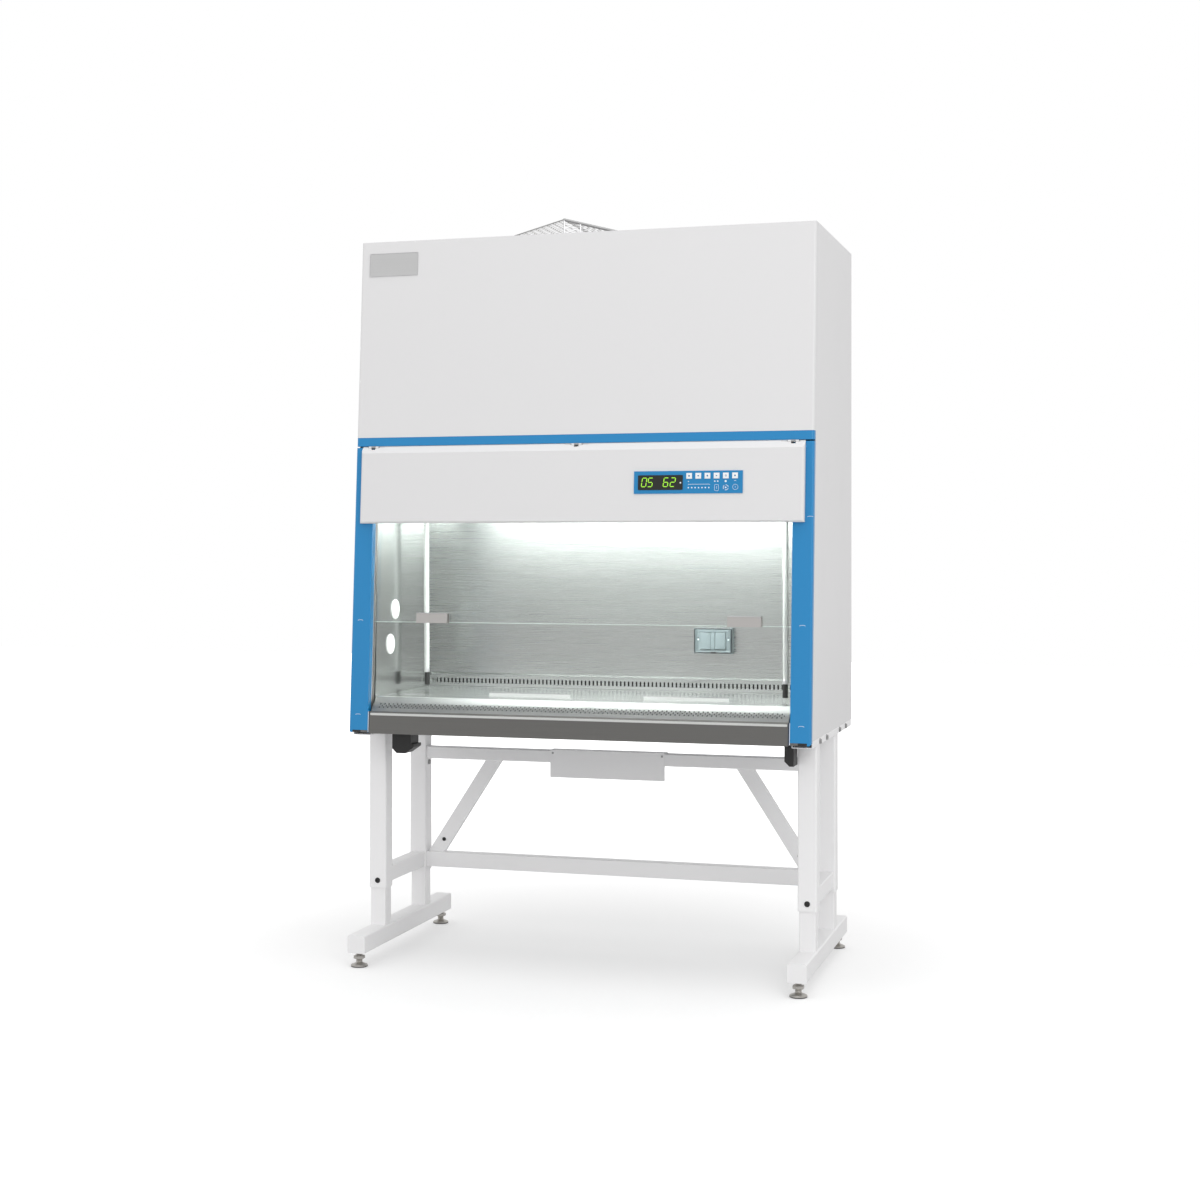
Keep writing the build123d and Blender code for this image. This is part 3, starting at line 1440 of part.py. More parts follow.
def nodes():
    """Every node by name."""
    parts = {
        "upper_front_cover": upper_front_cover(),
        "badge_plate": badge_plate(),
        "header_trim": header_trim(),
        "front_columns": group([front_column(side) for side in SIDES]),
        "side_panels": group([side_panel(side) for side in SIDES]),
        "back_panel": back_panel(),
        "roof_panel": roof_panel(),
        "base_pan": base_pan(),
        "main_frame": main_frame(),
        "fascia_hood": fascia_hood(),
        "hood_hinges": hood_hinges(),
        "control_plate": control_plate(),
        "display_window": display_window(),
        "armrest": armrest(),
        "front_grille": front_grille(),
        "work_tray": work_tray(),
        "chamber_liner": chamber_liner(),
        "rear_return_grille": rear_return_grille(),
        "diffuser": diffuser(),
        "port_plugs": port_plugs(),
        "uv_tubes": uv_tubes(),
        "uv_holders": uv_holders(),
        "lamp_reflector": lamp_reflector(),
        "lamp_tube": lamp_tube(),
        "sash_glass": sash_glass(),
        "sash_fittings": sash_fittings(),
        "sash_guides": group([sash_guide(side) for side in SIDES]),
        "lift_shaft": lift_shaft(),
        "counterweights": counterweights(),
        "counterweight_channels": counterweight_channels(),
        "outlet_box": outlet_box(),
        "left_outlet_flap": outlet_flap(-1),
        "right_outlet_flap": outlet_flap(1),
        "supply_filter": supply_filter(),
        "supply_plenum": supply_plenum(),
        "blower_housing": blower_housing(),
        "blower_motor": blower_motor(),
        "impeller": impeller(),
        "exhaust_filter": exhaust_filter(),
        "exhaust_guard": exhaust_guard(),
        "electronics_box": electronics_box(),
        "power_inlet": power_inlet(),
        "leg_frames": group([leg_frame(side) for side in SIDES]),
        "rear_crossbars": rear_crossbars(),
        "rear_braces": group([brace(side) for side in SIDES]),
        "lap_plate": lap_plate(),
        "left_foot_frame": foot_frame(-1),
        "right_foot_frame": foot_frame(1),
        "front_left_foot": levelling_foot(-1, 0),
        "rear_left_foot": levelling_foot(-1, 1),
        "front_right_foot": levelling_foot(1, 0),
        "rear_right_foot": levelling_foot(1, 1),
        "stand_fasteners": stand_fasteners(),
        "hose_hooks": hose_hooks(),
    }
    for i in range(BUTTON_COUNT):
        parts[f"button_{i + 1}"] = button(i)
    return parts


os.makedirs("parts", exist_ok=True)
for name, shape in nodes().items():
    export_step(shape, f"parts/{name}.step")
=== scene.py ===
"""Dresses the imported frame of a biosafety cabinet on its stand, and sets up a plain studio.

Run as a script in Blender 4.5. Every length is in metres, +Z is up, -Y is the front, and each
piece is worked out in the same frame as the CAD model that it dresses.
"""

import json
import math

import bpy
import numpy as np
from bpy.props import FloatProperty, FloatVectorProperty, IntProperty, PointerProperty
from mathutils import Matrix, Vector


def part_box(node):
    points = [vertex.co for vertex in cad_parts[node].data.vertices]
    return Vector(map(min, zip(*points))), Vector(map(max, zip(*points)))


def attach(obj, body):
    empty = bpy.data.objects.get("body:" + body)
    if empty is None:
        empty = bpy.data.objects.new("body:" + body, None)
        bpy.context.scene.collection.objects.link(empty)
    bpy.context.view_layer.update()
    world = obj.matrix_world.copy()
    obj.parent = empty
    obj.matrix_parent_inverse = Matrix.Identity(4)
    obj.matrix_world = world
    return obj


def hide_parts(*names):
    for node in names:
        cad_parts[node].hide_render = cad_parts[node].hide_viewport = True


bl_info = {
    "name": "Biosafety Cabinet Finish",
    "version": (1, 0, 0),
    "blender": (4, 5, 0),
    "location": "View3D > Sidebar > Cabinet",
    "description": "Finishes a biosafety cabinet and its stand, piece by piece",
    "category": "Object",
}

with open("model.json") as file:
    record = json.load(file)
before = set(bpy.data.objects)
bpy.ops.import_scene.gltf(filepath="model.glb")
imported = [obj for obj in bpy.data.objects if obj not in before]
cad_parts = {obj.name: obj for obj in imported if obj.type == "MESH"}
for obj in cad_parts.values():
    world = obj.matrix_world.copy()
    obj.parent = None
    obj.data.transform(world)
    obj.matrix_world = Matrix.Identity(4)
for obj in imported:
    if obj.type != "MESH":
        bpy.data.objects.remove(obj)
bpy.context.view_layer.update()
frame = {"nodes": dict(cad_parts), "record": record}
NODES = frame["nodes"]

SLOPE = math.radians(4.0)
ARMREST_Y = -0.345
ARMREST_Z = 0.714
HOOD_FACE = 0.020
PLATE_FACE = 0.0225
BUTTON_FACE = 0.0241
SASH_FACE = -0.032
RIGHTWARD = np.array([1.0, 0.0, 0.0])
UPHILL = np.array([0.0, math.sin(SLOPE), math.cos(SLOPE)])
OUTWARD = np.array([0.0, -math.cos(SLOPE), math.sin(SLOPE)])
WORLD_UP = np.array([0.0, 0.0, 1.0])


# Surfaces: each is (points, [arrays of faces])


def front(x, z, out=0.0):
    """Point on the sloping front: y = y0 + (z - z0) tan(slope) - out / cos(slope)."""
    y = ARMREST_Y + (z - ARMREST_Z) * math.tan(SLOPE) - out / math.cos(SLOPE)
    return np.array([x, y, z])


def grid_faces(rows, cols, wrap_rows=False, wrap_cols=True):
    """Quads of a rows by cols grid, joining each point to the next in its row and column."""
    i = np.arange(rows if wrap_rows else rows - 1)[:, None]
    j = np.arange(cols if wrap_cols else cols - 1)[None, :]
    i2 = (i + 1) % rows
    j2 = (j + 1) % cols
    quads = np.stack([i * cols + j, i * cols + j2, i2 * cols + j2, i2 * cols + j], -1)
    return quads.reshape(-1, 4)


def joined(surfaces):
    """Several surfaces as one: the points in turn, each one's faces numbered on from the last."""
    starts = np.cumsum([0] + [len(s[0]) for s in surfaces[:-1]])
    faces = [f + n for (_, group), n in zip(surfaces, starts) for f in group]
    return np.concatenate([s[0] for s in surfaces]), faces


def repeated(surface, offsets):
    """Copies of one surface, moved by each offset: all points at once as points + offset."""
    points, faces = surface
    offsets = np.asarray(offsets, float)
    count = len(points)
    moved = (points[None, :, :] + offsets[:, None, :]).reshape(-1, 3)
    steps = np.arange(len(offsets))[:, None, None] * count
    return moved, [(f[None, :, :] + steps).reshape(-1, f.shape[1]) for f in faces]


def outward(surface):
    """The same closed surface with its faces turned outwards, by the sign of its volume."""
    points, faces = surface
    volume = 0.0
    for f in faces:
        for k in range(1, f.shape[1] - 1):
            a, b, c = points[f[:, 0]], points[f[:, k]], points[f[:, k + 1]]
            volume += np.einsum("ij,ij->i", a, np.cross(b, c)).sum()
    return surface if volume > 0 else (points, [f[:, ::-1] for f in faces])


def placed(surface, origin, right, up, out):
    """Surface whose own x, y, z run along right, up and out from origin."""
    points, faces = surface
    axes = np.stack([right, up, out])
    return outward((points @ axes + np.asarray(origin, float), faces))


def turned(profile, sides=28, flats=0):
    """Surface of revolution about Z through (r, h) points: x = r cos a, y = r sin a, z = h.

    With flats, r is divided by the cosine of the angle from the nearest flat's middle, which
    gives a nut's outline. The first and last points lie on the axis and close the surface.
    """
    profile = np.asarray(profile, float)
    angle = np.arange(sides) * 2 * math.pi / sides
    shape = np.ones(sides)
    if flats:
        step = 2 * math.pi / flats
        shape = 1 / np.cos((angle + step / 2) % step - step / 2)
    r = profile[1:-1, 0][:, None] * shape
    h = np.repeat(profile[1:-1, 1][:, None], sides, 1)
    rings = np.stack([r * np.cos(angle), r * np.sin(angle), h], -1).reshape(-1, 3)
    points = np.concatenate([[[0, 0, profile[0, 1]]], rings, [[0, 0, profile[-1, 1]]]])
    j = np.arange(sides)
    j2 = (j + 1) % sides
    last = len(points) - 1
    top = last - sides
    faces = [
        grid_faces(len(profile) - 2, sides) + 1,
        np.stack([np.zeros(sides, int), j2 + 1, j + 1], -1),
        np.stack([np.full(sides, last), top + j, top + j2], -1),
    ]
    return outward((points, faces))


def rounded_outline(width, height, corner, steps=5):
    """Corner centres and outward normals of a rounded rectangle: point = centre + corner n(t)."""
    t = np.linspace(0, math.pi / 2, steps)
    angles = np.concatenate([t + k * math.pi / 2 for k in range(4)])
    normal = np.stack([np.cos(angles), np.sin(angles)], -1)
    signs = np.repeat([[1, 1], [-1, 1], [-1, -1], [1, -1]], steps, 0)
    centre = signs * [width / 2 - corner, height / 2 - corner]
    return centre, normal


def plate(width, height, depth, corner, edge, steps=5):
    """Flat plate with rounded corners and a rolled front edge.

    Rows go from the back outline up the side, then over a quarter circle of radius edge, each an
    outline set in by s: p = centre + (corner - s) n. Both ends are closed by one flat face.
    """
    centre, normal = rounded_outline(width, height, corner, steps)
    t = np.linspace(0, math.pi / 2, 4)
    inset = np.concatenate([[0], edge * (1 - np.cos(t))])[:, None, None]
    rise = np.concatenate([[0], depth - edge + edge * np.sin(t)])
    flat = centre + (corner - inset) * normal
    tall = np.repeat(rise[:, None, None], len(centre), 1)
    points = np.concatenate([flat, tall], -1).reshape(-1, 3)
    cols = len(centre)
    rows = len(rise)
    ends = np.stack([np.arange(cols)[::-1], np.arange(cols) + (rows - 1) * cols])
    return points, [grid_faces(rows, cols), ends]


def swept(section, start, end, right, up):
    """Closed section of (x, y) points carried in a straight line, with a flat face at each end."""
    section = np.asarray(section, float)
    ring = section[:, :1] * np.asarray(right) + section[:, 1:] * np.asarray(up)
    points = np.concatenate([ring + np.asarray(start), ring + np.asarray(end)])
    count = len(section)
    ends = np.stack([np.arange(count)[::-1], np.arange(count) + count])
    return outward((points, [grid_faces(2, count), ends]))


def wire(path, radius, sides=8, closed=False, up=WORLD_UP):
    """Round wire along a path: p + radius (cos b n1 + sin b n2), n1 and n2 square to the path."""
    path = np.asarray(path, float)
    if closed:
        along = np.roll(path, -1, 0) - np.roll(path, 1, 0)
    else:
        along = np.gradient(path, axis=0)
    along /= np.linalg.norm(along, axis=1)[:, None]
    n1 = np.cross(along, up)
    n1 /= np.linalg.norm(n1, axis=1)[:, None]
    n2 = np.cross(n1, along)
    b = np.arange(sides) * 2 * math.pi / sides
    ring = np.cos(b)[None, :, None] * n1[:, None, :] + np.sin(b)[None, :, None] * n2[:, None, :]
    points = (path[:, None, :] + radius * ring).reshape(-1, 3)
    faces = [grid_faces(len(path), sides, wrap_rows=closed)]
    if not closed:
        last = (len(path) - 1) * sides
        faces.append(np.stack([np.arange(sides)[::-1], np.arange(sides) + last]))
    return outward((points, faces))


def disc(radius, depth, sides=20):
    """Low round boss with a softened rim."""
    soft = min(radius, depth) * 0.4
    return turned(
        [(0, 0), (radius, 0), (radius, depth - soft), (radius - soft, depth), (0, depth)], sides
    )


def on_front(surface, x, z, out):
    """Surface set on the sloping front at (x, z), its own z pointing out of the cabinet."""
    return placed(surface, front(x, z, out), RIGHTWARD, UPHILL, OUTWARD)


def make_piece(name, surface, material, body, replaces=(), smooth=True):
    """Puts a surface into a mesh object that rides on a body and may stand for CAD nodes."""
    points, faces = surface
    mesh = bpy.data.meshes.new(name)
    mesh.from_pydata(points.tolist(), [], [row for f in faces for row in f.tolist()])
    mesh.validate()
    if smooth:
        mesh.shade_smooth()
        mesh.set_sharp_from_angle(angle=math.radians(35))
    mesh.materials.append(material)
    piece = bpy.data.objects.new(name, mesh)
    bpy.context.scene.collection.objects.link(piece)
    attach(piece, body)
    if replaces:
        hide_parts(*replaces)
    return piece


# Shader node groups, each made once and placed in many materials


def new_group(name, inputs, outputs):
    """Empty shader group with named float inputs and outputs."""
    tree = bpy.data.node_groups.new(name, "ShaderNodeTree")
    for label, default in inputs.items():
        socket = tree.interface.new_socket(label, in_out="INPUT", socket_type="NodeSocketFloat")
        socket.default_value = default
    for label in outputs:
        tree.interface.new_socket(label, in_out="OUTPUT", socket_type="NodeSocketFloat")
    return tree, tree.nodes.new("NodeGroupInput"), tree.nodes.new("NodeGroupOutput")


def add_math(tree, operation, a, b=None):
    """One Math node; a and b are sockets or numbers."""
    node = tree.nodes.new("ShaderNodeMath")
    node.operation = operation
    for socket, value in zip(node.inputs, (a, b)):
        if isinstance(value, bpy.types.NodeSocket):
            tree.links.new(value, socket)
        elif value is not None:
            socket.default_value = value
    return node.outputs[0]


def add_noise(tree, vector, scale, detail=3.0, rough=0.55):
    """Noise texture whose scale is a socket or a number."""
    node = tree.nodes.new("ShaderNodeTexNoise")
    node.inputs["Detail"].default_value = detail
    node.inputs["Roughness"].default_value = rough
    tree.links.new(vector, node.inputs["Vector"])
    if isinstance(scale, bpy.types.NodeSocket):
        tree.links.new(scale, node.inputs["Scale"])
    else:
        node.inputs["Scale"].default_value = scale
    return node.outputs["Fac"]


def object_vector(tree, stretch=(1.0, 1.0, 1.0)):
    """Object coordinates, stretched along each axis."""
    coordinates = tree.nodes.new("ShaderNodeTexCoord")
    mapping = tree.nodes.new("ShaderNodeMapping")
    mapping.inputs["Scale"].default_value = stretch
    tree.links.new(coordinates.outputs["Object"], mapping.inputs["Vector"])
    return mapping.outputs["Vector"]


def powder_coat_group():
    """Orange-peel relief, broad tone and fine fleck of a baked coat."""
    tree, start, end = new_group(
        "Powder Coat", {"Peel Scale": 420.0, "Tone Scale": 2.2}, ("Tone", "Fleck", "Height")
    )
    vector = object_vector(tree)
    tree.links.new(add_noise(tree, vector, start.outputs["Tone Scale"], 2.0), end.inputs["Tone"])
    tree.links.new(add_noise(tree, vector, 1500.0, 1.0), end.inputs["Fleck"])
    peel = add_noise(tree, vector, start.outputs["Peel Scale"], 2.0, 0.4)
    tree.links.new(peel, end.inputs["Height"])
    return tree


def brushed_group():
    """Long fine scratches along X, with broader bands of tone."""
    tree, start, end = new_group("Brushed Lines", {"Fineness": 1.0}, ("Lines", "Bands", "Height"))
    fine = add_noise(tree, object_vector(tree, (3.0, 900.0, 900.0)), start.outputs["Fineness"], 4.0, 0.7)
    broad = add_noise(tree, object_vector(tree, (0.8, 60.0, 60.0)), 1.0, 2.0)
    tree.links.new(fine, end.inputs["Lines"])
    tree.links.new(broad, end.inputs["Bands"])
    tree.links.new(fine, end.inputs["Height"])
    return tree


def handling_group():
    """Faint cloudy marks from wiping and touch, and a film of dust on faces that look up."""
    tree, start, end = new_group("Handling", {"Scale": 9.0}, ("Smudge", "Dust"))
    vector = object_vector(tree)
    cloud = add_noise(tree, vector, start.outputs["Scale"], 6.0, 0.65)
    ramp = add_math(tree, "SUBTRACT", cloud, 0.5)
    ramp = add_math(tree, "MULTIPLY", ramp, 3.0)
    smudge = add_math(tree, "MAXIMUM", ramp, 0.0)
    tree.links.new(smudge, end.inputs["Smudge"])
    geometry = tree.nodes.new("ShaderNodeNewGeometry")
    split = tree.nodes.new("ShaderNodeSeparateXYZ")
    tree.links.new(geometry.outputs["Normal"], split.inputs[0])
    upward = add_math(tree, "MAXIMUM", split.outputs["Z"], 0.0)
    fine = add_noise(tree, vector, 160.0, 3.0)
    tree.links.new(add_math(tree, "MULTIPLY", upward, fine), end.inputs["Dust"])
    return tree


def moulded_group():
    """Fine spark-eroded grain of a plastic moulding, with slow flow marks."""
    tree, start, end = new_group("Moulded Grain", {"Grain Scale": 900.0}, ("Flow", "Grain", "Height"))
    vector = object_vector(tree)
    grain = add_noise(tree, vector, start.outputs["Grain Scale"], 2.0)
    tree.links.new(grain, end.inputs["Grain"])
    tree.links.new(grain, end.inputs["Height"])
    tree.links.new(add_noise(tree, vector, 14.0, 2.0), end.inputs["Flow"])
    return tree


GROUPS = {}


def shared(name):
    """The node group of that name, made on its first use."""
    makers = {
        "coat": powder_coat_group,
        "brushed": brushed_group,
        "handling": handling_group,
        "moulded": moulded_group,
    }
    if name not in GROUPS:
        GROUPS[name] = makers[name]()
    return GROUPS[name]


class Finish:
    """One material under construction: a Principled shader and what feeds it."""

    def __init__(self, name, colour, metallic=0.0, roughness=0.5, **sockets):
        self.material = bpy.data.materials.new(name)
        self.material.use_nodes = True
        self.tree = self.material.node_tree
        self.shader = self.tree.nodes["Principled BSDF"]
        self.colour = tuple(colour)[:3]
        self.shader.inputs["Base Color"].default_value = (*self.colour, 1.0)
        self.shader.inputs["Metallic"].default_value = metallic
        self.shader.inputs["Roughness"].default_value = roughness
        for label, value in sockets.items():
            self.shader.inputs[label.replace("_", " ")].default_value = value

    def use(self, group, **values):
        """Places a shared group and returns it."""
        node = self.tree.nodes.new("ShaderNodeGroup")
        node.node_tree = shared(group)
        for label, value in values.items():
            node.inputs[label.replace("_", " ")].default_value = value
        return node

    def tint(self, mask, amount, towards):
        """Mixes the base colour towards another by amount times a mask that varies."""
        mix = self.tree.nodes.new("ShaderNodeMix")
        mix.data_type = "RGBA"
        factor = add_math(self.tree, "MULTIPLY", mask, amount)
        self.tree.links.new(factor, mix.inputs["Factor"])
        base = self.shader.inputs["Base Color"]
        if base.is_linked:
            self.tree.links.new(base.links[0].from_socket, mix.inputs["A"])
        else:
            mix.inputs["A"].default_value = (*self.colour, 1.0)
        mix.inputs["B"].default_value = (*towards, 1.0)
        self.tree.links.new(mix.outputs["Result"], base)
        return self

    def gloss(self, mask, low, high):
        """Roughness from low to high as the mask goes from 0 to 1."""
        span = self.tree.nodes.new("ShaderNodeMapRange")
        span.inputs["To Min"].default_value = low
        span.inputs["To Max"].default_value = high
        self.tree.links.new(mask, span.inputs["Value"])
        self.tree.links.new(span.outputs["Result"], self.shader.inputs["Roughness"])
        return self

    def relief(self, height, distance, strength=0.4):
        """Bump of that depth from a height that varies."""
        bump = self.tree.nodes.new("ShaderNodeBump")
        bump.inputs["Strength"].default_value = strength
        bump.inputs["Distance"].default_value = distance
        self.tree.links.new(height, bump.inputs["Height"])
        self.tree.links.new(bump.outputs["Normal"], self.shader.inputs["Normal"])
        return self


def shade_of(colour, factor):
    """The same colour, lighter or darker."""
    return tuple(min(1.0, c * factor) for c in tuple(colour)[:3])


def coated(name, colour, roughness=0.38, peel=420.0):
    """Baked powder coat: slow tone, flecks, orange peel and light handling marks."""
    finish = Finish(name, colour, roughness=roughness)
    coat = finish.use("coat", Peel_Scale=peel)
    marks = finish.use("handling", Scale=5.0)
    finish.tint(coat.outputs["Tone"], 0.06, shade_of(colour, 0.9))
    finish.tint(coat.outputs["Fleck"], 0.05, shade_of(colour, 1.12))
    finish.tint(marks.outputs["Dust"], 0.05, (0.62, 0.60, 0.57))
    finish.gloss(marks.outputs["Smudge"], roughness, roughness + 0.12)
    finish.relief(coat.outputs["Height"], 0.00008, 0.25)
    return finish.material


def steel(name, colour, low, high, fineness=1.0, relief=0.00004):
    """Brushed stainless sheet: lines and bands in tone, roughness and relief."""
    finish = Finish(name, colour, metallic=1.0, roughness=low)
    lines = finish.use("brushed", Fineness=fineness)
    marks = finish.use("handling", Scale=7.0)
    finish.tint(lines.outputs["Lines"], 0.35, shade_of(colour, 0.72))
    finish.tint(lines.outputs["Bands"], 0.20, shade_of(colour, 1.15))
    finish.tint(marks.outputs["Smudge"], 0.12, shade_of(colour, 0.8))
    finish.gloss(lines.outputs["Lines"], low, high)
    finish.relief(lines.outputs["Height"], relief, 0.3)
    return finish.material


def moulded(name, colour, roughness=0.42, grain=900.0):
    """Moulded plastic: fine grain, slow flow marks and touch marks."""
    finish = Finish(name, colour, roughness=roughness)
    grain_group = finish.use("moulded", Grain_Scale=grain)
    marks = finish.use("handling", Scale=20.0)
    finish.tint(grain_group.outputs["Flow"], 0.10, shade_of(colour, 0.82))
    finish.tint(grain_group.outputs["Grain"], 0.06, shade_of(colour, 1.2))
    finish.gloss(marks.outputs["Smudge"], roughness, roughness + 0.15)
    finish.relief(grain_group.outputs["Height"], 0.00003, 0.25)
    return finish.material


def liner_steel(colours):
    """Chamber sheet: polished on the two side walls, brushed and softer on the rear wall."""
    colour = colours.chamber_steel
    finish = Finish("chamber sheet", colour, metallic=1.0, roughness=0.25)
    lines = finish.use("brushed", Fineness=0.8)
    marks = finish.use("handling", Scale=3.0)
    finish.tint(lines.outputs["Lines"], 0.25, shade_of(colour, 0.78))
    finish.tint(lines.outputs["Bands"], 0.15, shade_of(colour, 1.12))
    finish.tint(marks.outputs["Smudge"], 0.10, shade_of(colour, 0.85))
    tree = finish.tree
    split = tree.nodes.new("ShaderNodeSeparateXYZ")
    tree.links.new(object_vector(tree), split.inputs[0])
    side = add_math(tree, "GREATER_THAN", add_math(tree, "ABSOLUTE", split.outputs["X"]), 0.5975)
    rear = add_math(tree, "SUBTRACT", 1.0, side)
    soft = add_math(tree, "MULTIPLY", add_math(tree, "ADD", lines.outputs["Lines"], 0.28), rear)
    finish.gloss(add_math(tree, "MULTIPLY", soft, 0.6), 0.15, 0.42)
    finish.relief(lines.outputs["Height"], 0.000015, 0.12)
    return finish.material


def pane_glass(colours):
    """Clear toughened glass with a faint green body and wiping marks."""
    finish = Finish(
        "sash pane", colours.pane, roughness=0.0, Transmission_Weight=1.0, IOR=1.5
    )
    marks = finish.use("handling", Scale=4.0)
    finish.gloss(marks.outputs["Smudge"], 0.0, 0.03)
    finish.tint(marks.outputs["Smudge"], 0.03, (0.80, 0.88, 0.85))
    return finish.material


def ground_edge(colours):
    """Ground edge of the pane: frosted, pale green, with grinding lines."""
    finish = Finish("ground edge", (0.74, 0.84, 0.79), roughness=0.32)
    lines = finish.use("brushed", Fineness=3.0)
    finish.tint(lines.outputs["Lines"], 0.2, shade_of(colours.pane, 0.7))
    finish.relief(lines.outputs["Height"], 0.00004, 0.3)
    return finish.material


def lamp_phosphor(name, colour, strength):
    """Frosted tube that glows evenly, a little dimmer towards its ends."""
    finish = Finish(name, colour, roughness=0.35)
    tree = finish.tree
    marks = finish.use("moulded", Grain_Scale=400.0)
    finish.tint(marks.outputs["Flow"], 0.08, shade_of(colour, 0.9))
    split = tree.nodes.new("ShaderNodeSeparateXYZ")
    tree.links.new(object_vector(tree), split.inputs[0])
    ends = add_math(tree, "ABSOLUTE", split.outputs["X"])
    ramp = tree.nodes.new("ShaderNodeValToRGB")
    ramp.color_ramp.elements[0].position = 0.49
    ramp.color_ramp.elements[0].color = (1.0, 1.0, 1.0, 1.0)
    ramp.color_ramp.elements[1].position = 0.54
    ramp.color_ramp.elements[1].color = (0.25, 0.22, 0.18, 1.0)
    tree.links.new(ends, ramp.inputs[0])
    tree.links.new(ramp.outputs["Color"], finish.shader.inputs["Emission Color"])
    finish.shader.inputs["Emission Strength"].default_value = strength
    return finish.material


def glowing(name, colour, strength):
    """Lit segment or indicator, with the slight mottle of its diffuser."""
    finish = Finish(name, colour, roughness=0.4)
    grain = finish.use("moulded", Grain_Scale=1400.0)
    finish.tint(grain.outputs["Grain"], 0.2, shade_of(colour, 0.6))
    base = finish.shader.inputs["Base Color"].links[0].from_socket
    finish.tree.links.new(base, finish.shader.inputs["Emission Color"])
    finish.shader.inputs["Emission Strength"].default_value = strength
    return finish.material


def pleated_media(colours):
    """Filter paper: warm white with pleat shadows and fibre fleck."""
    colour = colours.filter_media
    finish = Finish("filter media", colour, roughness=0.9)
    tree = finish.tree
    wave = tree.nodes.new("ShaderNodeTexWave")
    wave.inputs["Scale"].default_value = 40.0
    tree.links.new(object_vector(tree), wave.inputs["Vector"])
    grain = finish.use("moulded", Grain_Scale=1200.0)
    finish.tint(wave.outputs["Fac"], 0.25, shade_of(colour, 0.7))
    finish.tint(grain.outputs["Grain"], 0.15, shade_of(colour, 0.85))
    finish.relief(wave.outputs["Fac"], 0.001, 0.5)
    return finish.material


MATERIALS = {}


def material_of(slot, scene):
    """The material of a record slot, made on its first use from the scene's colours."""
    colours = scene.cabinet_colours
    makers = {
        "cabinet_white": lambda: coated("cabinet coat", colours.coat),
        "trim_blue": lambda: coated("blue trim coat", colours.trim, 0.32),
        "stand_white": lambda: coated("stand coat", colours.stand, 0.34, 600.0),
        "badge_silver": lambda: steel("badge plate", (0.70, 0.70, 0.70), 0.36, 0.5, 2.0),
        # Tray: the chamber steel made 1.85 times lighter, a lit copy of the same sheet: painted light.
        "inner_steel": lambda: steel("tray sheet painted light", shade_of(colours.chamber_steel, 1.85), 0.17, 0.34),
        # Grille: the chamber steel made 0.66 times as bright, a shaded copy of the same sheet: painted shade.
        "grille": lambda: steel("grille sheet painted shade", shade_of(colours.chamber_steel, 0.66), 0.42, 0.58),
        # Bright lip: a much lighter copy of the armrest's stainless, a painted highlight along its lip.
        "bright_lip": lambda: steel("lip painted highlight", (0.80, 0.81, 0.79), 0.30, 0.46),
        # Outlet rim: the outlet moulding made 0.18 times as bright; it also colours the painted shadow strips under the
        # flaps.
        "outlet_rim": lambda: moulded("outlet rim and painted shadow", shade_of(colours.outlet, 0.18), 0.4),
        "liner": lambda: liner_steel(colours),
        "armrest_steel": lambda: steel("armrest sheet", colours.armrest, 0.36, 0.55, 0.7, 0.00008),
        "sheet_steel": lambda: steel("galvanised sheet", (0.60, 0.61, 0.62), 0.35, 0.5, 0.5),
        "sash_pane": lambda: pane_glass(colours),
        "sash_metal": lambda: steel("sash aluminium", (0.60, 0.58, 0.565), 0.38, 0.52, 1.5),
        "control_blue": lambda: moulded("control membrane", colours.control, 0.36),
        "edge_glass": lambda: ground_edge(colours),
        "display_dark": lambda: moulded("display window", (0.012, 0.014, 0.010), 0.12, 300.0),
        "button_white": lambda: moulded("key cap", (0.88, 0.89, 0.90), 0.4),
        "plug_white": lambda: moulded("port plug", (0.90, 0.91, 0.90), 0.38),
        "outlet_grey": lambda: moulded("outlet moulding", colours.outlet, 0.35),
        "lamp_glass": lambda: lamp_phosphor("chamber lamp", (0.95, 0.97, 0.96), 2.5),
        "uv_glass": lambda: lamp_phosphor("germicidal tube", (0.62, 0.64, 0.63), 0.05),
        "holder_white": lambda: moulded("lamp shade", (0.55, 0.56, 0.55), 0.4),
        "black_plastic": lambda: moulded("black moulding", (0.018, 0.018, 0.018), 0.45),
        "filter_media": lambda: pleated_media(colours),
        "cast_weight": lambda: coated("raw casting", (0.10, 0.10, 0.10), 0.6, 200.0),
        "fastener_zinc": lambda: steel("zinc fastener", (0.42, 0.42, 0.42), 0.28, 0.45, 4.0),
        "foot_steel": lambda: steel("foot steel", (0.58, 0.56, 0.53), 0.25, 0.42, 4.0),
        "guard_wire": lambda: steel("guard wire", (0.70, 0.70, 0.71), 0.26, 0.40, 4.0),
        "segment_green": lambda: glowing("lit segment", (0.32, 0.72, 0.04), 0.7),
        "print_white": lambda: moulded("white print", (0.86, 0.90, 0.93), 0.45, 1500.0),
        "print_blue": lambda: moulded("blue print", (0.04, 0.19, 0.42), 0.45, 1500.0),
        "seal_navy": lambda: moulded("seal strip", (0.012, 0.030, 0.075), 0.5, 600.0),
    }
    if slot not in MATERIALS:
        MATERIALS[slot] = makers[slot]()
    return MATERIALS[slot]


# What a user may change


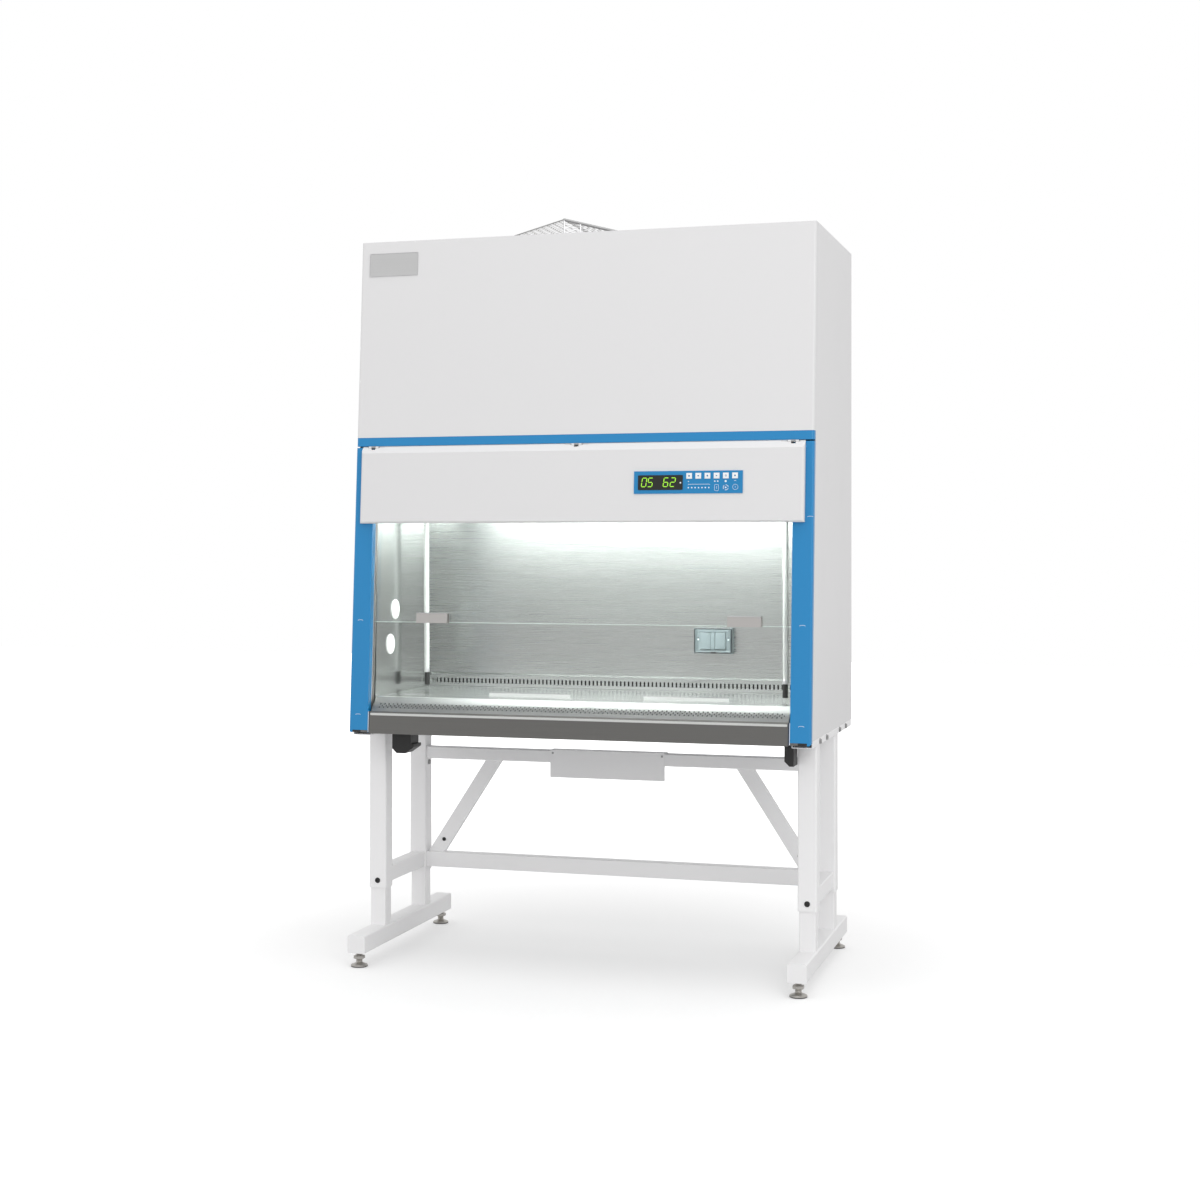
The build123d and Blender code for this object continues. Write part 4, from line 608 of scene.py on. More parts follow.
class CabinetColours(bpy.types.PropertyGroup):
    """Colours of the finishes, as linear values."""

    coat: FloatVectorProperty(
        name="Cabinet Coat",
        description="Powder coat of the casing and the fascia",
        subtype="COLOR",
        default=(0.75, 0.745, 0.75),
    )
    trim: FloatVectorProperty(
        name="Blue Trim",
        description="Coat of the columns and of the band above the fascia",
        subtype="COLOR",
        default=(0.012, 0.235, 0.530),
    )
    stand: FloatVectorProperty(
        name="Stand Coat",
        description="Powder coat of the stand's tubes",
        subtype="COLOR",
        default=(0.89, 0.885, 0.89),
    )
    chamber_steel: FloatVectorProperty(
        name="Chamber Steel",
        description="Stainless sheet of the chamber, tray and grilles",
        subtype="COLOR",
        default=(0.52, 0.535, 0.525),
    )
    armrest: FloatVectorProperty(
        name="Armrest Steel",
        description="Stainless sheet of the armrest",
        subtype="COLOR",
        default=(0.205, 0.202, 0.194),
    )
    control: FloatVectorProperty(
        name="Control Plate",
        description="Printed membrane round the keys",
        subtype="COLOR",
        default=(0.008, 0.222, 0.500),
    )
    pane: FloatVectorProperty(
        name="Sash Pane",
        description="Body colour of the sash glass",
        subtype="COLOR",
        default=(0.965, 0.985, 0.975),
    )
    outlet: FloatVectorProperty(
        name="Outlet Box",
        description="Moulding of the socket box",
        subtype="COLOR",
        default=(0.205, 0.25, 0.26),
    )
    filter_media: FloatVectorProperty(
        name="Filter Media",
        description="Pleated media of the exhaust filter",
        subtype="COLOR",
        default=(0.80, 0.78, 0.70),
    )


class CabinetSizes(bpy.types.PropertyGroup):
    """Sizes of the pieces that are added to the frame."""

    guard_wire: FloatProperty(
        name="Guard Wire",
        description="Radius of the fine wires of the roof guard",
        default=0.0011,
        min=0.0004,
        max=0.003,
        unit="LENGTH",
    )
    guard_rings: IntProperty(
        name="Guard Rings",
        description="Number of nested wires in each gable of the roof guard",
        default=12,
        min=4,
        max=30,
    )
    digit_height: FloatProperty(
        name="Digit Height",
        description="Height of the display's digits",
        default=0.0235,
        unit="LENGTH",
    )
    thread_pitch: FloatProperty(
        name="Foot Thread",
        description="Pitch of the levelling screws",
        default=0.002,
        unit="LENGTH",
    )


class StudioSettings(bpy.types.PropertyGroup):
    """Light and view of the studio."""

    key_power: FloatProperty(
        name="Key Light",
        description="Power of the large light at the front right",
        default=54.0,
        unit="POWER",
    )
    fill_power: FloatProperty(
        name="Fill Light",
        description="Power of the light at the left",
        default=9.0,
        unit="POWER",
    )
    top_power: FloatProperty(
        name="Top Light",
        description="Power of the light overhead",
        default=44.0,
        unit="POWER",
    )
    chamber_power: FloatProperty(
        name="Chamber Light",
        description="Power of the lamp behind the fascia",
        default=9.0,
        unit="POWER",
    )
    room: FloatProperty(
        name="Reflected Room",
        description="How bright the room shows in polished metal, against its own brightness",
        default=0.88,
        min=0.0,
        max=1.0,
    )
    sky: FloatProperty(
        name="Surrounding Light",
        description="Strength of the even light from all round",
        default=0.84,
    )
    lens: FloatProperty(
        name="Lens",
        description="Focal length on a 36 mm wide frame",
        default=58.27,
        unit="CAMERA",
    )


# Operators, one for each group of like pieces


class CABINET_OT_coat_nodes(bpy.types.Operator):
    """Gives every CAD node the finish of its material slot"""

    bl_idname = "cabinet.coat_nodes"
    bl_label = "Finish CAD Nodes"

    def execute(self, context):
        slots = {s["node"]: s["material_slot"] for s in frame["record"]["subparts"]}
        special = {
            "chamber_liner": "liner",
            "rear_return_grille": "liner",
            "front_grille": "grille",
            "uv_tubes": "uv_glass",
        }
        for name, node in NODES.items():
            material = material_of(special.get(name, slots[name]), context.scene)
            node.data.materials.clear()
            node.data.materials.append(material)
        return {"FINISHED"}


def segment(start, end, thick):
    """Bar of a digit in its plane: a hexagon from start to end, as a thin plate 0.3 mm high."""
    start, end = np.asarray(start, float), np.asarray(end, float)
    along = (end - start) / np.linalg.norm(end - start)
    side = np.array([-along[1], along[0]]) * thick / 2
    tip = along * thick / 2
    flat = np.array(
        [start, start + tip + side, end - tip + side, end, end - tip - side, start + tip - side]
    )
    low = np.concatenate([flat, np.zeros((6, 1))], 1)
    high = np.concatenate([flat, np.full((6, 1), 0.0003)], 1)
    ends = np.stack([np.arange(6)[::-1], np.arange(6) + 6])
    return np.concatenate([low, high]), [grid_faces(2, 6), ends]


def digit(number, x, z, width, height):
    """Seven-segment digit leaning to the right: corners sheared by 0.15 of their height."""
    lit = {0: "abcdef", 1: "bc", 2: "abged", 3: "abgcd", 4: "fgbc", 5: "afgcd", 6: "afgecd"}[number]
    gap = width * 0.06
    levels = {"t": height, "m": height / 2, "b": 0.0}
    corner = {
        side + level: np.array([edge + 0.15 * rise, rise])
        for side, edge in (("l", 0.0), ("r", width))
        for level, rise in levels.items()
    }
    ends = {
        "a": ("lt", "rt"),
        "b": ("rm", "rt"),
        "c": ("rb", "rm"),
        "d": ("lb", "rb"),
        "e": ("lb", "lm"),
        "f": ("lm", "lt"),
        "g": ("lm", "rm"),
    }
    bars = []
    for key in lit:
        a, b = corner[ends[key][0]], corner[ends[key][1]]
        step = (b - a) / np.linalg.norm(b - a) * gap
        bars.append(segment(a + step, b - step, width * 0.17))
    return on_front(joined(bars), x, z, PLATE_FACE + 0.001)


class CABINET_OT_display(bpy.types.Operator):
    """Lit digits and the small indicator of the display window"""

    bl_idname = "cabinet.display"
    bl_label = "Display"

    def execute(self, context):
        height = context.scene.cabinet_sizes.digit_height
        left = 0.180
        low = 1.3348
        width = height * 0.52
        digits = [(0, 0.0085), (5, 0.0255), (6, 0.0685), (2, 0.0875)]
        surface = joined([digit(n, left + x, low, width, height) for n, x in digits])
        green = material_of("segment_green", context.scene)
        make_piece("display_digits", surface, green, "hood", smooth=False)
        lamp = on_front(disc(0.0022, 0.0006, 12), left + 0.1165, low + 0.010, PLATE_FACE + 0.001)
        make_piece(
            "display_indicator", lamp, material_of("print_white", context.scene), "hood"
        )
        rim = wire(
            rectangle_path(left + 0.061, 1.34575, 0.122, 0.0385, 0.0015, PLATE_FACE + 0.0008),
            0.0007,
            6,
            closed=True,
            up=OUTWARD,
        )
        make_piece(
            "display_rim", rim, material_of("black_plastic", context.scene), "hood"
        )
        return {"FINISHED"}


def rectangle_path(x, z, width, height, corner, out):
    """Rounded rectangle on the sloping front, as a closed path."""
    centre, normal = rounded_outline(width, height, corner, 4)
    flat = centre + corner * normal
    return front(x, z, out) + flat[:, :1] * RIGHTWARD + flat[:, 1:] * UPHILL


def ring_path(x, z, radius, out, start=0.0, turn=1.0, count=20):
    """Arc on the sloping front: angle from start through turn, as shares of a circle."""
    closed = turn >= 1.0
    t = (start + turn * np.arange(count) / (count if closed else count - 1)) * 2 * math.pi
    return (
        front(x, z, out)
        + radius * np.cos(t)[:, None] * RIGHTWARD
        + radius * np.sin(t)[:, None] * UPHILL
    )


class CABINET_OT_key_marks(bpy.types.Operator):
    """Marks on the six keys and the printed symbols below them"""

    bl_idname = "cabinet.key_marks"
    bl_label = "Key Marks"

    def execute(self, context):
        blue = material_of("print_blue", context.scene)
        white = material_of("print_white", context.scene)
        for i in range(6):
            x = 0.320 + 0.0249 * i
            z = 1.363
            out = BUTTON_FACE
            marks = {
                0: [on_front(plate(0.0042, 0.0042, 0.0003, 0.0006, 0.0001), x, z, out)],
                1: [on_front(plate(0.0042, 0.0030, 0.0003, 0.0006, 0.0001), x, z, out)],
                2: [on_front(disc(0.0023, 0.0003, 14), x, z, out)],
                3: [on_front(turned_arrow(0.0026), x, z, out)],
                4: [wire(ring_path(x, z, 0.0020, out), 0.0005, 6, True, OUTWARD)],
                5: [on_front(disc(0.0025, 0.0003, 6), x, z, out)],
            }[i]
            cap = on_front(plate(0.0150, 0.0150, 0.0004, 0.0016, 0.00015), x, z, out - 0.0003)
            make_piece(
                f"key_cap_{i + 1}",
                cap,
                material_of("button_white", context.scene),
                f"button_{i + 1}",
            )
            marks = [(points + OUTWARD * 0.00012, faces) for points, faces in marks]
            make_piece(f"key_mark_{i + 1}", joined(marks), blue, f"button_{i + 1}")
        flat = PLATE_FACE
        dots = [on_front(disc(0.0019, 0.0005, 12), 0.3181 + 0.00928 * k, 1.3313, flat) for k in range(7)]
        line = np.array([front(0.3165, 1.3385, flat), front(0.3185, 1.3405, flat)])
        line = np.concatenate([line, [front(0.3745, 1.3405, flat), front(0.3765, 1.3385, flat)]])
        marks = dots + [wire(line, 0.0005, 6, up=OUTWARD)]
        for x, z, size in ((0.3181, 1.3482, 0.0014), (0.3897, 1.3482, 0.0020), (0.3977, 1.3482, 0.0020)):
            marks.append(on_front(disc(size, 0.0005, 10), x, z, flat))
        marks.append(on_front(disc(0.0029, 0.0005, 12), 0.4192, 1.3482, flat))
        marks.append(wire(ring_path(0.4450, 1.3475, 0.0024, flat, 0.05, 0.4, 10), 0.0006, 6, up=OUTWARD))
        marks.append(wire(rectangle_path(0.3947, 1.3310, 0.0110, 0.0165, 0.003, flat), 0.0004, 6, True, OUTWARD))
        for start in (0.02, 0.36, 0.70):
            marks.append(wire(ring_path(0.4196, 1.3315, 0.0068, flat, start, 0.24, 9), 0.0007, 6, up=OUTWARD))
        marks.append(on_front(turned_arrow(0.0034), 0.4196, 1.3315, flat))
        marks.append(wire(ring_path(0.4453, 1.3325, 0.0072, flat), 0.0004, 6, True, OUTWARD))
        bolt = np.array([front(0.3955, 1.3350, flat), front(0.3938, 1.3315, flat), front(0.3952, 1.3285, flat)])
        marks.append(wire(bolt, 0.0005, 6, up=OUTWARD))
        stroke = np.array([front(0.4453, 1.3345, flat), front(0.4453, 1.3305, flat)])
        marks.append(wire(stroke, 0.0005, 6, up=OUTWARD))
        make_piece("panel_symbols", joined(marks), white, "hood")
        return {"FINISHED"}


def turned_arrow(size):
    """Small filled triangle that points right, 0.3 mm high."""
    angle = np.array([0.0, 2.3, -2.3])
    flat = np.stack([np.cos(angle), np.sin(angle)], -1) * size
    low = np.concatenate([flat, np.zeros((3, 1))], 1)
    high = np.concatenate([flat, np.full((3, 1), 0.0003)], 1)
    ends = np.stack([np.arange(3)[::-1], np.arange(3) + 3])
    return np.concatenate([low, high]), [grid_faces(2, 3), ends]


class CABINET_OT_column_trim(bpy.types.Operator):
    """Feet, clip arcs and sealing strips of the two blue columns"""

    bl_idname = "cabinet.column_trim"
    bl_label = "Column Trim"

    def execute(self, context):
        black = material_of("black_plastic", context.scene)
        pale = material_of("print_white", context.scene)
        navy = material_of("seal_navy", context.scene)
        steel_edge = material_of("armrest_steel", context.scene)
        plugs, ends, arcs, seals, strips = [], [], [], [], []
        for side in (-1, 1):
            z = 0.6576
            plugs.append(on_front(plate(0.0236, 0.0066, 0.0014, 0.0012, 0.0004), side * 0.6278, z, -0.002))
            ends.append(on_front(plate(0.0200, 0.0066, 0.0014, 0.0008, 0.0003), side * 0.6058, z, -0.002))
            for z_arc in ((0.966, 0.703) if side < 0 else (0.966, 0.703, 1.252)):
                x_arc = side * (0.6245 if z_arc < 1.2 else 0.6420)
                t = np.linspace(0, 1, 13)
                bow = 0.0022 * (1 - (2 * t - 1) ** 6)
                path = front(x_arc, z_arc, 0.0)
                path = path + ((t - 0.5) * 0.015)[:, None] * RIGHTWARD + bow[:, None] * UPHILL
                arcs.append(wire(path, 0.0005, 6, up=OUTWARD))
            for xs, wide, store in ((0.5938, 0.0022, strips), (0.5912, 0.0028, seals)):
                store.append(
                    swept(
                        [(-wide / 2, 0), (wide / 2, 0), (wide / 2, 0.004), (-wide / 2, 0.004)],
                        front(side * xs, 0.655, -0.006),
                        front(side * xs, 0.7125, -0.006),
                        RIGHTWARD,
                        OUTWARD,
                    )
                )
        make_piece("column_plugs", joined(plugs), black, "cabinet")
        make_piece("column_ends", joined(ends), steel_edge, "cabinet")
        make_piece("column_clip_arcs", joined(arcs), pale, "cabinet")
        make_piece("side_seals", joined(seals), navy, "cabinet", smooth=False)
        make_piece("side_strips", joined(strips), pale, "cabinet", smooth=False)
        return {"FINISHED"}


class CABINET_OT_sash_edge(bpy.types.Operator):
    """Ground lower edge of the pane and the rolled rims of its two handles"""

    bl_idname = "cabinet.sash_edge"
    bl_label = "Sash Edge"

    def execute(self, context):
        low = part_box("sash_glass")[0]
        z = low.z + 0.0012
        angle = np.linspace(0, 2 * math.pi, 12, endpoint=False)
        section = np.stack([0.0034 * np.cos(angle), 0.0011 * np.sin(angle)], -1)
        edge = swept(
            section,
            front(-0.6055, z, SASH_FACE - 0.003),
            front(0.6055, z, SASH_FACE - 0.003),
            OUTWARD,
            UPHILL,
        )
        make_piece(
            "sash_ground_edge", edge, material_of("edge_glass", context.scene), "sash"
        )
        rims = []
        for x in (-0.4165, 0.4665):
            for z_rim, out in ((0.9885, 0.0182), (0.9885, 0.0004)):
                path = [front(x - 0.0455, z_rim, SASH_FACE + out), front(x + 0.0455, z_rim, SASH_FACE + out)]
                rims.append(wire(path, 0.0011, 8, up=OUTWARD))
        make_piece(
            "handle_rims", joined(rims), material_of("guard_wire", context.scene), "sash"
        )
        return {"FINISHED"}


class CABINET_OT_lamp_shades(bpy.types.Operator):
    """Half-round shades beside the germicidal tubes, with caps"""

    bl_idname = "cabinet.lamp_shades"
    bl_label = "Lamp Shades"

    def execute(self, context):
        shades, caps = [], []
        for x, y, start, turn in ((-0.551, 0.008, 120, 150), (0.551, -0.170, 20, 150)):
            t = np.radians(np.linspace(start, start + turn, 14))
            arc = np.stack([np.cos(t), np.sin(t)], -1)
            section = np.concatenate([arc * 0.0092, arc[::-1] * 0.0084])
            shades.append(
                swept(section, (x, y, 0.803), (x, y, 1.262), RIGHTWARD, np.array([0.0, 1.0, 0.0]))
            )
            cap = turned([(0, 0), (0.0078, 0), (0.0078, 0.011), (0.0070, 0.012), (0, 0.012)], 24)
            for z in (0.802, 1.252):
                caps.append((cap[0] + [x, y, z], cap[1]))
        make_piece(
            "tube_shades", joined(shades), material_of("holder_white", context.scene), "cabinet"
        )
        make_piece(
            "tube_caps", joined(caps), material_of("guard_wire", context.scene), "cabinet"
        )
        return {"FINISHED"}


class CABINET_OT_port_plugs(bpy.types.Operator):
    """Turned plugs in the side walls' service ports"""

    bl_idname = "cabinet.port_plugs"
    bl_label = "Port Plugs"

    def execute(self, context):
        profile = [
            (0, 0.0023), (0.0139, 0.0023), (0.0139, 0.051), (0.029, 0.0512), (0.029, 0.0535), (0.0275, 0.0555),
            (0.0225, 0.0559), (0.0215, 0.0549), (0.0185, 0.0549), (0.0175, 0.0559), (0, 0.0562),
        ]
        plug = turned(profile, 40)
        plugs = []
        for side in (-1, 1):
            for y, z in ((-0.169, 0.893), (-0.129, 0.992)):
                inward = np.array([-side, 0.0, 0.0])
                plugs.append(
                    placed(plug, (side * 0.650, y, z), np.array([0.0, 1.0, 0.0]), WORLD_UP, inward)
                )
        make_piece(
            "turned_port_plugs",
            joined(plugs),
            material_of("plug_white", context.scene),
            "cabinet",
            replaces=("port_plugs",),
        )
        return {"FINISHED"}


class CABINET_OT_outlets(bpy.types.Operator):
    """Socket box frame, its screws and latch, the two ribbed flaps, and a painted shadow strip under each flap"""

    bl_idname = "cabinet.outlets"
    bl_label = "Outlets"

    def execute(self, context):
        low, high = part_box("outlet_box")
        middle_x, middle_z = (low.x + high.x) / 2, (low.z + high.z) / 2
        width, height = high.x - low.x, high.z - low.z
        face_y = 0.124
        right, out = RIGHTWARD, np.array([0.0, -1.0, 0.0])
        grey = material_of("outlet_grey", context.scene)

        def rim(inset, radius, corner):
            """Wire round the box's face, set in from its edge."""
            centre, normal = rounded_outline(width - 2 * inset, height - 2 * inset, corner, 5)
            flat = centre + corner * normal
            middle = np.array([middle_x, face_y - 0.0006, middle_z])
            return wire(middle + flat[:, :1] * right + flat[:, 1:] * WORLD_UP, radius, 8, True, out)

        dark = material_of("outlet_rim", context.scene)
        make_piece("outlet_rim", rim(0.0018, 0.0018, 0.005), dark, "cabinet")
        lid = [rim(0.0062, 0.0015, 0.004), rim(0.0100, 0.0008, 0.003)]
        bar = plate(0.086, 0.0075, 0.0022, 0.0015, 0.0008)
        lid.append(placed(bar, (middle_x, face_y, high.z - 0.0085), right, WORLD_UP, out))
        make_piece("outlet_frame", joined(lid), grey, "cabinet")
        for side, body in ((-1, "left"), (1, "right")):
            node = f"{body}_outlet_flap"
            low_flap, high_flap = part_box(node)
            wide, tall = high_flap.x - low_flap.x, high_flap.z - low_flap.z
            x, z = (low_flap.x + high_flap.x) / 2, (low_flap.z + high_flap.z) / 2
            shell = plate(wide - 0.0006, tall, 0.0046, 0.003, 0.0014)
            shell = placed(shell, (x, 0.1236, z), right, WORLD_UP, out)
            ridge = plate(wide - 0.011, tall - 0.013, 0.0006, 0.0025, 0.0005)
            ridge = placed(ridge, (x + side * 0.001, 0.1191, z), right, WORLD_UP, out)
            axis = low_flap.x + 0.0025 if side > 0 else high_flap.x - 0.0025
            barrel = wire([(axis, 0.1212, low_flap.z + 0.001), (axis, 0.1212, high_flap.z - 0.001)], 0.0024, 12, up=out)
            surface = joined([shell, ridge, barrel])
            make_piece(f"{body}_flap_shell", surface, grey, f"{body}_flap", replaces=(node,))
            # Painted shadow: a dark strip under each flap, in the dark outlet rim finish.
            shadow = plate(wide + 0.002, 0.0022, 0.0010, 0.0008, 0.0004)
            shadow = placed(shadow, (x, face_y, low_flap.z - 0.0022), right, WORLD_UP, out)
            make_piece(f"{body}_flap_painted_shadow", shadow, dark, "cabinet")
        head = turned([(0, 0), (0.0024, 0), (0.0024, 0.0006), (0.0018, 0.0013), (0, 0.0014)], 16)
        screws = [
            placed(head, (x, face_y - 0.0002, 0.9045), right, WORLD_UP, out) for x in (0.2435, 0.3325)
        ]
        make_piece(
            "outlet_screws", joined(screws), material_of("print_white", context.scene), "cabinet"
        )
        marks = [
            placed(plate(0.0045, 0.0018, 0.0006, 0.0004, 0.0002), (x, face_y, 0.9105), right, WORLD_UP, out)
            for x in (0.2435, 0.3325)
        ]
        latch = plate(0.016, 0.0048, 0.003, 0.0015, 0.0006)
        marks.append(placed(latch, (middle_x + 0.002, face_y, low.z + 0.0026), right, WORLD_UP, out))
        make_piece(
            "outlet_latch", joined(marks), material_of("black_plastic", context.scene), "cabinet"
        )
        return {"FINISHED"}


class CABINET_OT_lip_highlight_slot_shade(bpy.types.Operator):
    """Painted highlight along the armrest's lip, and painted shade: a dark sheet behind the slots of the rear strip"""

    bl_idname = "cabinet.return_lining"
    bl_label = "Lip Highlight and Slot Shade"

    def execute(self, context):
        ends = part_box("armrest")
        # Painted highlight: a thin strip of bright steel along the armrest's lip.
        lip = plate(ends[1].x - ends[0].x - 0.004, 0.0066, 0.0010, 0.002, 0.0006)
        lip = on_front(lip, 0.0, 0.7060, -0.0004)
        bright = material_of("bright_lip", context.scene)
        make_piece("armrest_lip_painted_highlight", lip, bright, "cabinet", smooth=False)
        low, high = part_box("rear_return_grille")
        # Painted shade: a black sheet behind the rear strip's slots, where the duct is only in shade.
        slot_shade = plate(high.x - low.x - 0.05, 0.030, 0.0012, 0.001, 0.0003)
        slot_shade = placed(slot_shade, (0.0, 0.1500, 0.7680), RIGHTWARD, WORLD_UP, np.array([0.0, -1.0, 0.0]))
        black = material_of("black_plastic", context.scene)
        make_piece("return_lining", slot_shade, black, "cabinet", smooth=False)
        return {"FINISHED"}


class CABINET_OT_feet(bpy.types.Operator):
    """Levelling feet: disc, threaded stem and nut"""

    bl_idname = "cabinet.feet"
    bl_label = "Levelling Feet"

    def execute(self, context):
        pitch = context.scene.cabinet_sizes.thread_pitch
        rises = np.arange(0.0125, 0.074, pitch / 2)
        radii = np.where(np.arange(len(rises)) % 2, 0.0083, 0.0089)
        profile = [(0, 0), (0.0222, 0), (0.0233, 0.0012), (0.0235, 0.0048), (0.0222, 0.0062)]
        profile += [(0.0125, 0.0100), (0.0100, 0.0118)] + list(zip(radii, rises)) + [(0.0078, 0.076), (0, 0.076)]
        foot = turned(profile, 32)
        nut = turned([(0, 0), (0.0128, 0), (0.0141, 0.0012), (0.0141, 0.0078), (0.0128, 0.009), (0, 0.009)], 36, 6)
        pad = turned([(0, 0), (0.0224, 0), (0.0238, 0.0008), (0.0238, 0.0022), (0.0228, 0.0030), (0, 0.0030)], 32)
        steel_foot = material_of("foot_steel", context.scene)
        for name in ("front_left_foot", "rear_left_foot", "front_right_foot", "rear_right_foot"):
            low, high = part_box(name)
            x, y = (low.x + high.x) / 2, (low.y + high.y) / 2
            surface = joined([(foot[0] + [x, y, 0], foot[1]), (nut[0] + [x, y, 0.022], nut[1])])
            make_piece(f"{name}_turned", surface, steel_foot, name, replaces=(name,))
            low_pad = (pad[0] * [0.985, 0.985, 1.0] + [x, y, 0.0], pad[1])
            make_piece(
                f"{name}_pad", low_pad, material_of("black_plastic", context.scene), name
            )
        return {"FINISHED"}


def bolt_head(radius, depth):
    """Hexagon head on a washer, with a chamfered crown."""
    washer = turned(
        [(0, 0), (radius * 1.25, 0), (radius * 1.25, depth * 0.2), (radius * 1.2, depth * 0.25), (0, depth * 0.25)],
        24,
    )
    head = turned(
        [
            (0, depth * 0.2), (radius * 0.86, depth * 0.2), (radius * 0.86, depth * 0.85),
            (radius * 0.74, depth), (0, depth),
        ],
        36,
        6,
    )
    return joined([washer, head])


def socket_head(radius, depth):
    """Low domed screw head with a round recess."""
    dome = turned(
        [
            (0, 0), (radius, 0), (radius, depth * 0.35), (radius * 0.85, depth * 0.8),
            (radius * 0.55, depth), (radius * 0.52, depth * 0.4), (0, depth * 0.4),
        ],
        36,
    )
    return dome


class CABINET_OT_fasteners(bpy.types.Operator):
    """Lock screws, brace screws and hexagon bolts of the stand"""

    bl_idname = "cabinet.fasteners"
    bl_label = "Stand Fasteners"

    def execute(self, context):
        front_way, back_way = np.array([0.0, -1.0, 0.0]), np.array([0.0, 1.0, 0.0])
        screws, bolts = [], []
        lock = socket_head(0.0078, 0.0032)
        small = socket_head(0.0058, 0.0030)
        hexagon = bolt_head(0.0065, 0.0050)
        for side in (-1, 1):
            x = side * 0.618
            screws.append(placed(lock, (x, -0.216, 0.218), RIGHTWARD, WORLD_UP, front_way))
            screws.append(placed(lock, (x, 0.157, 0.218), -RIGHTWARD, WORLD_UP, back_way))
            screws.append(placed(small, (side * 0.5394, 0.121, 0.291), RIGHTWARD, WORLD_UP, front_way))
            inward = np.array([-side, 0.0, 0.0])
            bolts.append(placed(hexagon, (side * 0.592, 0.131, 0.5215), back_way, WORLD_UP, inward))
            for y in (-0.20383, -0.08967, 0.13867, 0.25283):
                bolts.append(placed(hexagon, (side * 0.650, y, 0.654), back_way, WORLD_UP, -inward))
        black = material_of("black_plastic", context.scene)
        zinc = material_of("fastener_zinc", context.scene)
        make_piece("lock_screws", joined(screws), black, "cabinet")
        make_piece(
            "hexagon_bolts", joined(bolts), zinc, "cabinet", replaces=("stand_fasteners",)
        )
        small_heads = [
            placed(socket_head(0.0032, 0.0018), (x, 0.1095, 0.563), RIGHTWARD, WORLD_UP, front_way)
            for x in (-0.193, 0.139)
        ]
        make_piece("plate_screws", joined(small_heads), zinc, "cabinet")
        return {"FINISHED"}


class CABINET_OT_roof_guard(bpy.types.Operator):
    """Wire guard over the exhaust opening, and the filter's pleats under it"""

    bl_idname = "cabinet.roof_guard"
    bl_label = "Roof Guard"

    def execute(self, context):
        sizes = context.scene.cabinet_sizes
        low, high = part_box("exhaust_guard")
        middle = (low.x + high.x) / 2
        base, top = low.z + 0.004, high.z - 0.004
        ends = (low.y + 0.004, high.y - 0.004)
        wires, rails = [], []
        outline = [(low.x + 0.004, ends[0]), (high.x - 0.004, ends[0]), (high.x - 0.004, ends[1]), (low.x + 0.004, ends[1])]
        path = np.array([(x, y, base) for x, y in outline])
        for k in range(4):
            rails.append(wire([path[k], path[(k + 1) % 4]], 0.0036, 8, up=np.array([0.3, 0.4, 1.0])))
        rails.append(wire([(middle, ends[0], top), (middle, ends[1], top)], 0.0034, 8))
        for side in (-1, 1):
            foot = middle + side * (high.x - middle - 0.004)
            for y in ends:
                rails.append(wire([(foot, y, base), (middle, y, top)], 0.0034 if side > 0 else 0.0018, 8, up=RIGHTWARD))
            for k in range(1, sizes.guard_rings + 1):
                share = k / (sizes.guard_rings + 1)
                inner = foot + (middle - foot) * share
                rise = (top - base) * share
                for y in ends:
                    wires.append(wire([(inner, y, base), (middle, y, top - rise)], sizes.guard_wire, 6, up=RIGHTWARD))
                wires.append(wire([(inner, ends[0], base + rise), (inner, ends[1], base + rise)], sizes.guard_wire, 6))
        for y in ends:
            for x in (middle, middle + 0.048):
                reach = top - (top - base) * (x - middle) / (high.x - middle)
                wires.append(wire([(x, y, base), (x, y, reach)], 0.0022, 6, up=RIGHTWARD))
        wire_finish = material_of("guard_wire", context.scene)
        rail_finish = material_of("fastener_zinc", context.scene)
        make_piece("guard_wires", joined(wires), wire_finish, "cabinet")
        make_piece(
            "guard_rails", joined(rails), rail_finish, "cabinet", replaces=("exhaust_guard",)
        )
        low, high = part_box("exhaust_filter")
        x0, x1, y0, y1 = low.x + 0.021, high.x - 0.021, low.y + 0.021, high.y - 0.021
        folds = 160
        x = np.linspace(x0, x1, folds + 1)
        z = high.z - 0.0205 + 0.012 * (np.arange(folds + 1) % 2)
        near = np.stack([x, np.full_like(x, y0), z], -1)
        far = np.stack([x, np.full_like(x, y1), z], -1)
        pleats = (np.concatenate([near, far]), [grid_faces(2, folds + 1, wrap_cols=False)])
        make_piece(
            "filter_pleats",
            pleats,
            material_of("filter_media", context.scene),
            "cabinet",
            smooth=False,
        )
        return {"FINISHED"}


class CABINET_OT_panel_screws(bpy.types.Operator):
    """Pan-head screws round the rear panel, the roof and the badge plate's rim"""

    bl_idname = "cabinet.panel_screws"
    bl_label = "Panel Screws"

    def execute(self, context):
        head = turned([(0, 0), (0.0042, 0), (0.0042, 0.0005), (0.0030, 0.0016), (0, 0.0018)], 14)
        back = placed(head, (0, 0, 0), -RIGHTWARD, WORLD_UP, np.array([0.0, 1.0, 0.0]))
        xs = np.linspace(-0.628, 0.628, 9)
        zs = np.linspace(0.69, 2.015, 10)
        places = [(x, 0.3735, z) for x in xs for z in (zs[0], zs[-1])]
        places += [(x, 0.3735, z) for x in (xs[0], 0.0, xs[-1]) for z in zs[1:-1]]
        zinc = material_of("fastener_zinc", context.scene)
        screws = repeated(back, [(x, y - 0.0003, z) for x, y, z in places])
        make_piece("rear_panel_screws", screws, zinc, "cabinet")
        places = [(x, y, 2.0390) for x in np.linspace(-0.62, 0.62, 7) for y in (-0.205, 0.355)]
        make_piece("roof_screws", repeated(head, places), zinc, "cabinet")
        low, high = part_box("badge_plate")
        path = rectangle_path((low.x + high.x) / 2, (low.z + high.z) / 2, 0.1445, 0.0645, 0.003, 0.0012)
        rim = wire(path, 0.0009, 6, True, OUTWARD)
        make_piece("badge_rim", rim, material_of("guard_wire", context.scene), "cabinet")
        return {"FINISHED"}


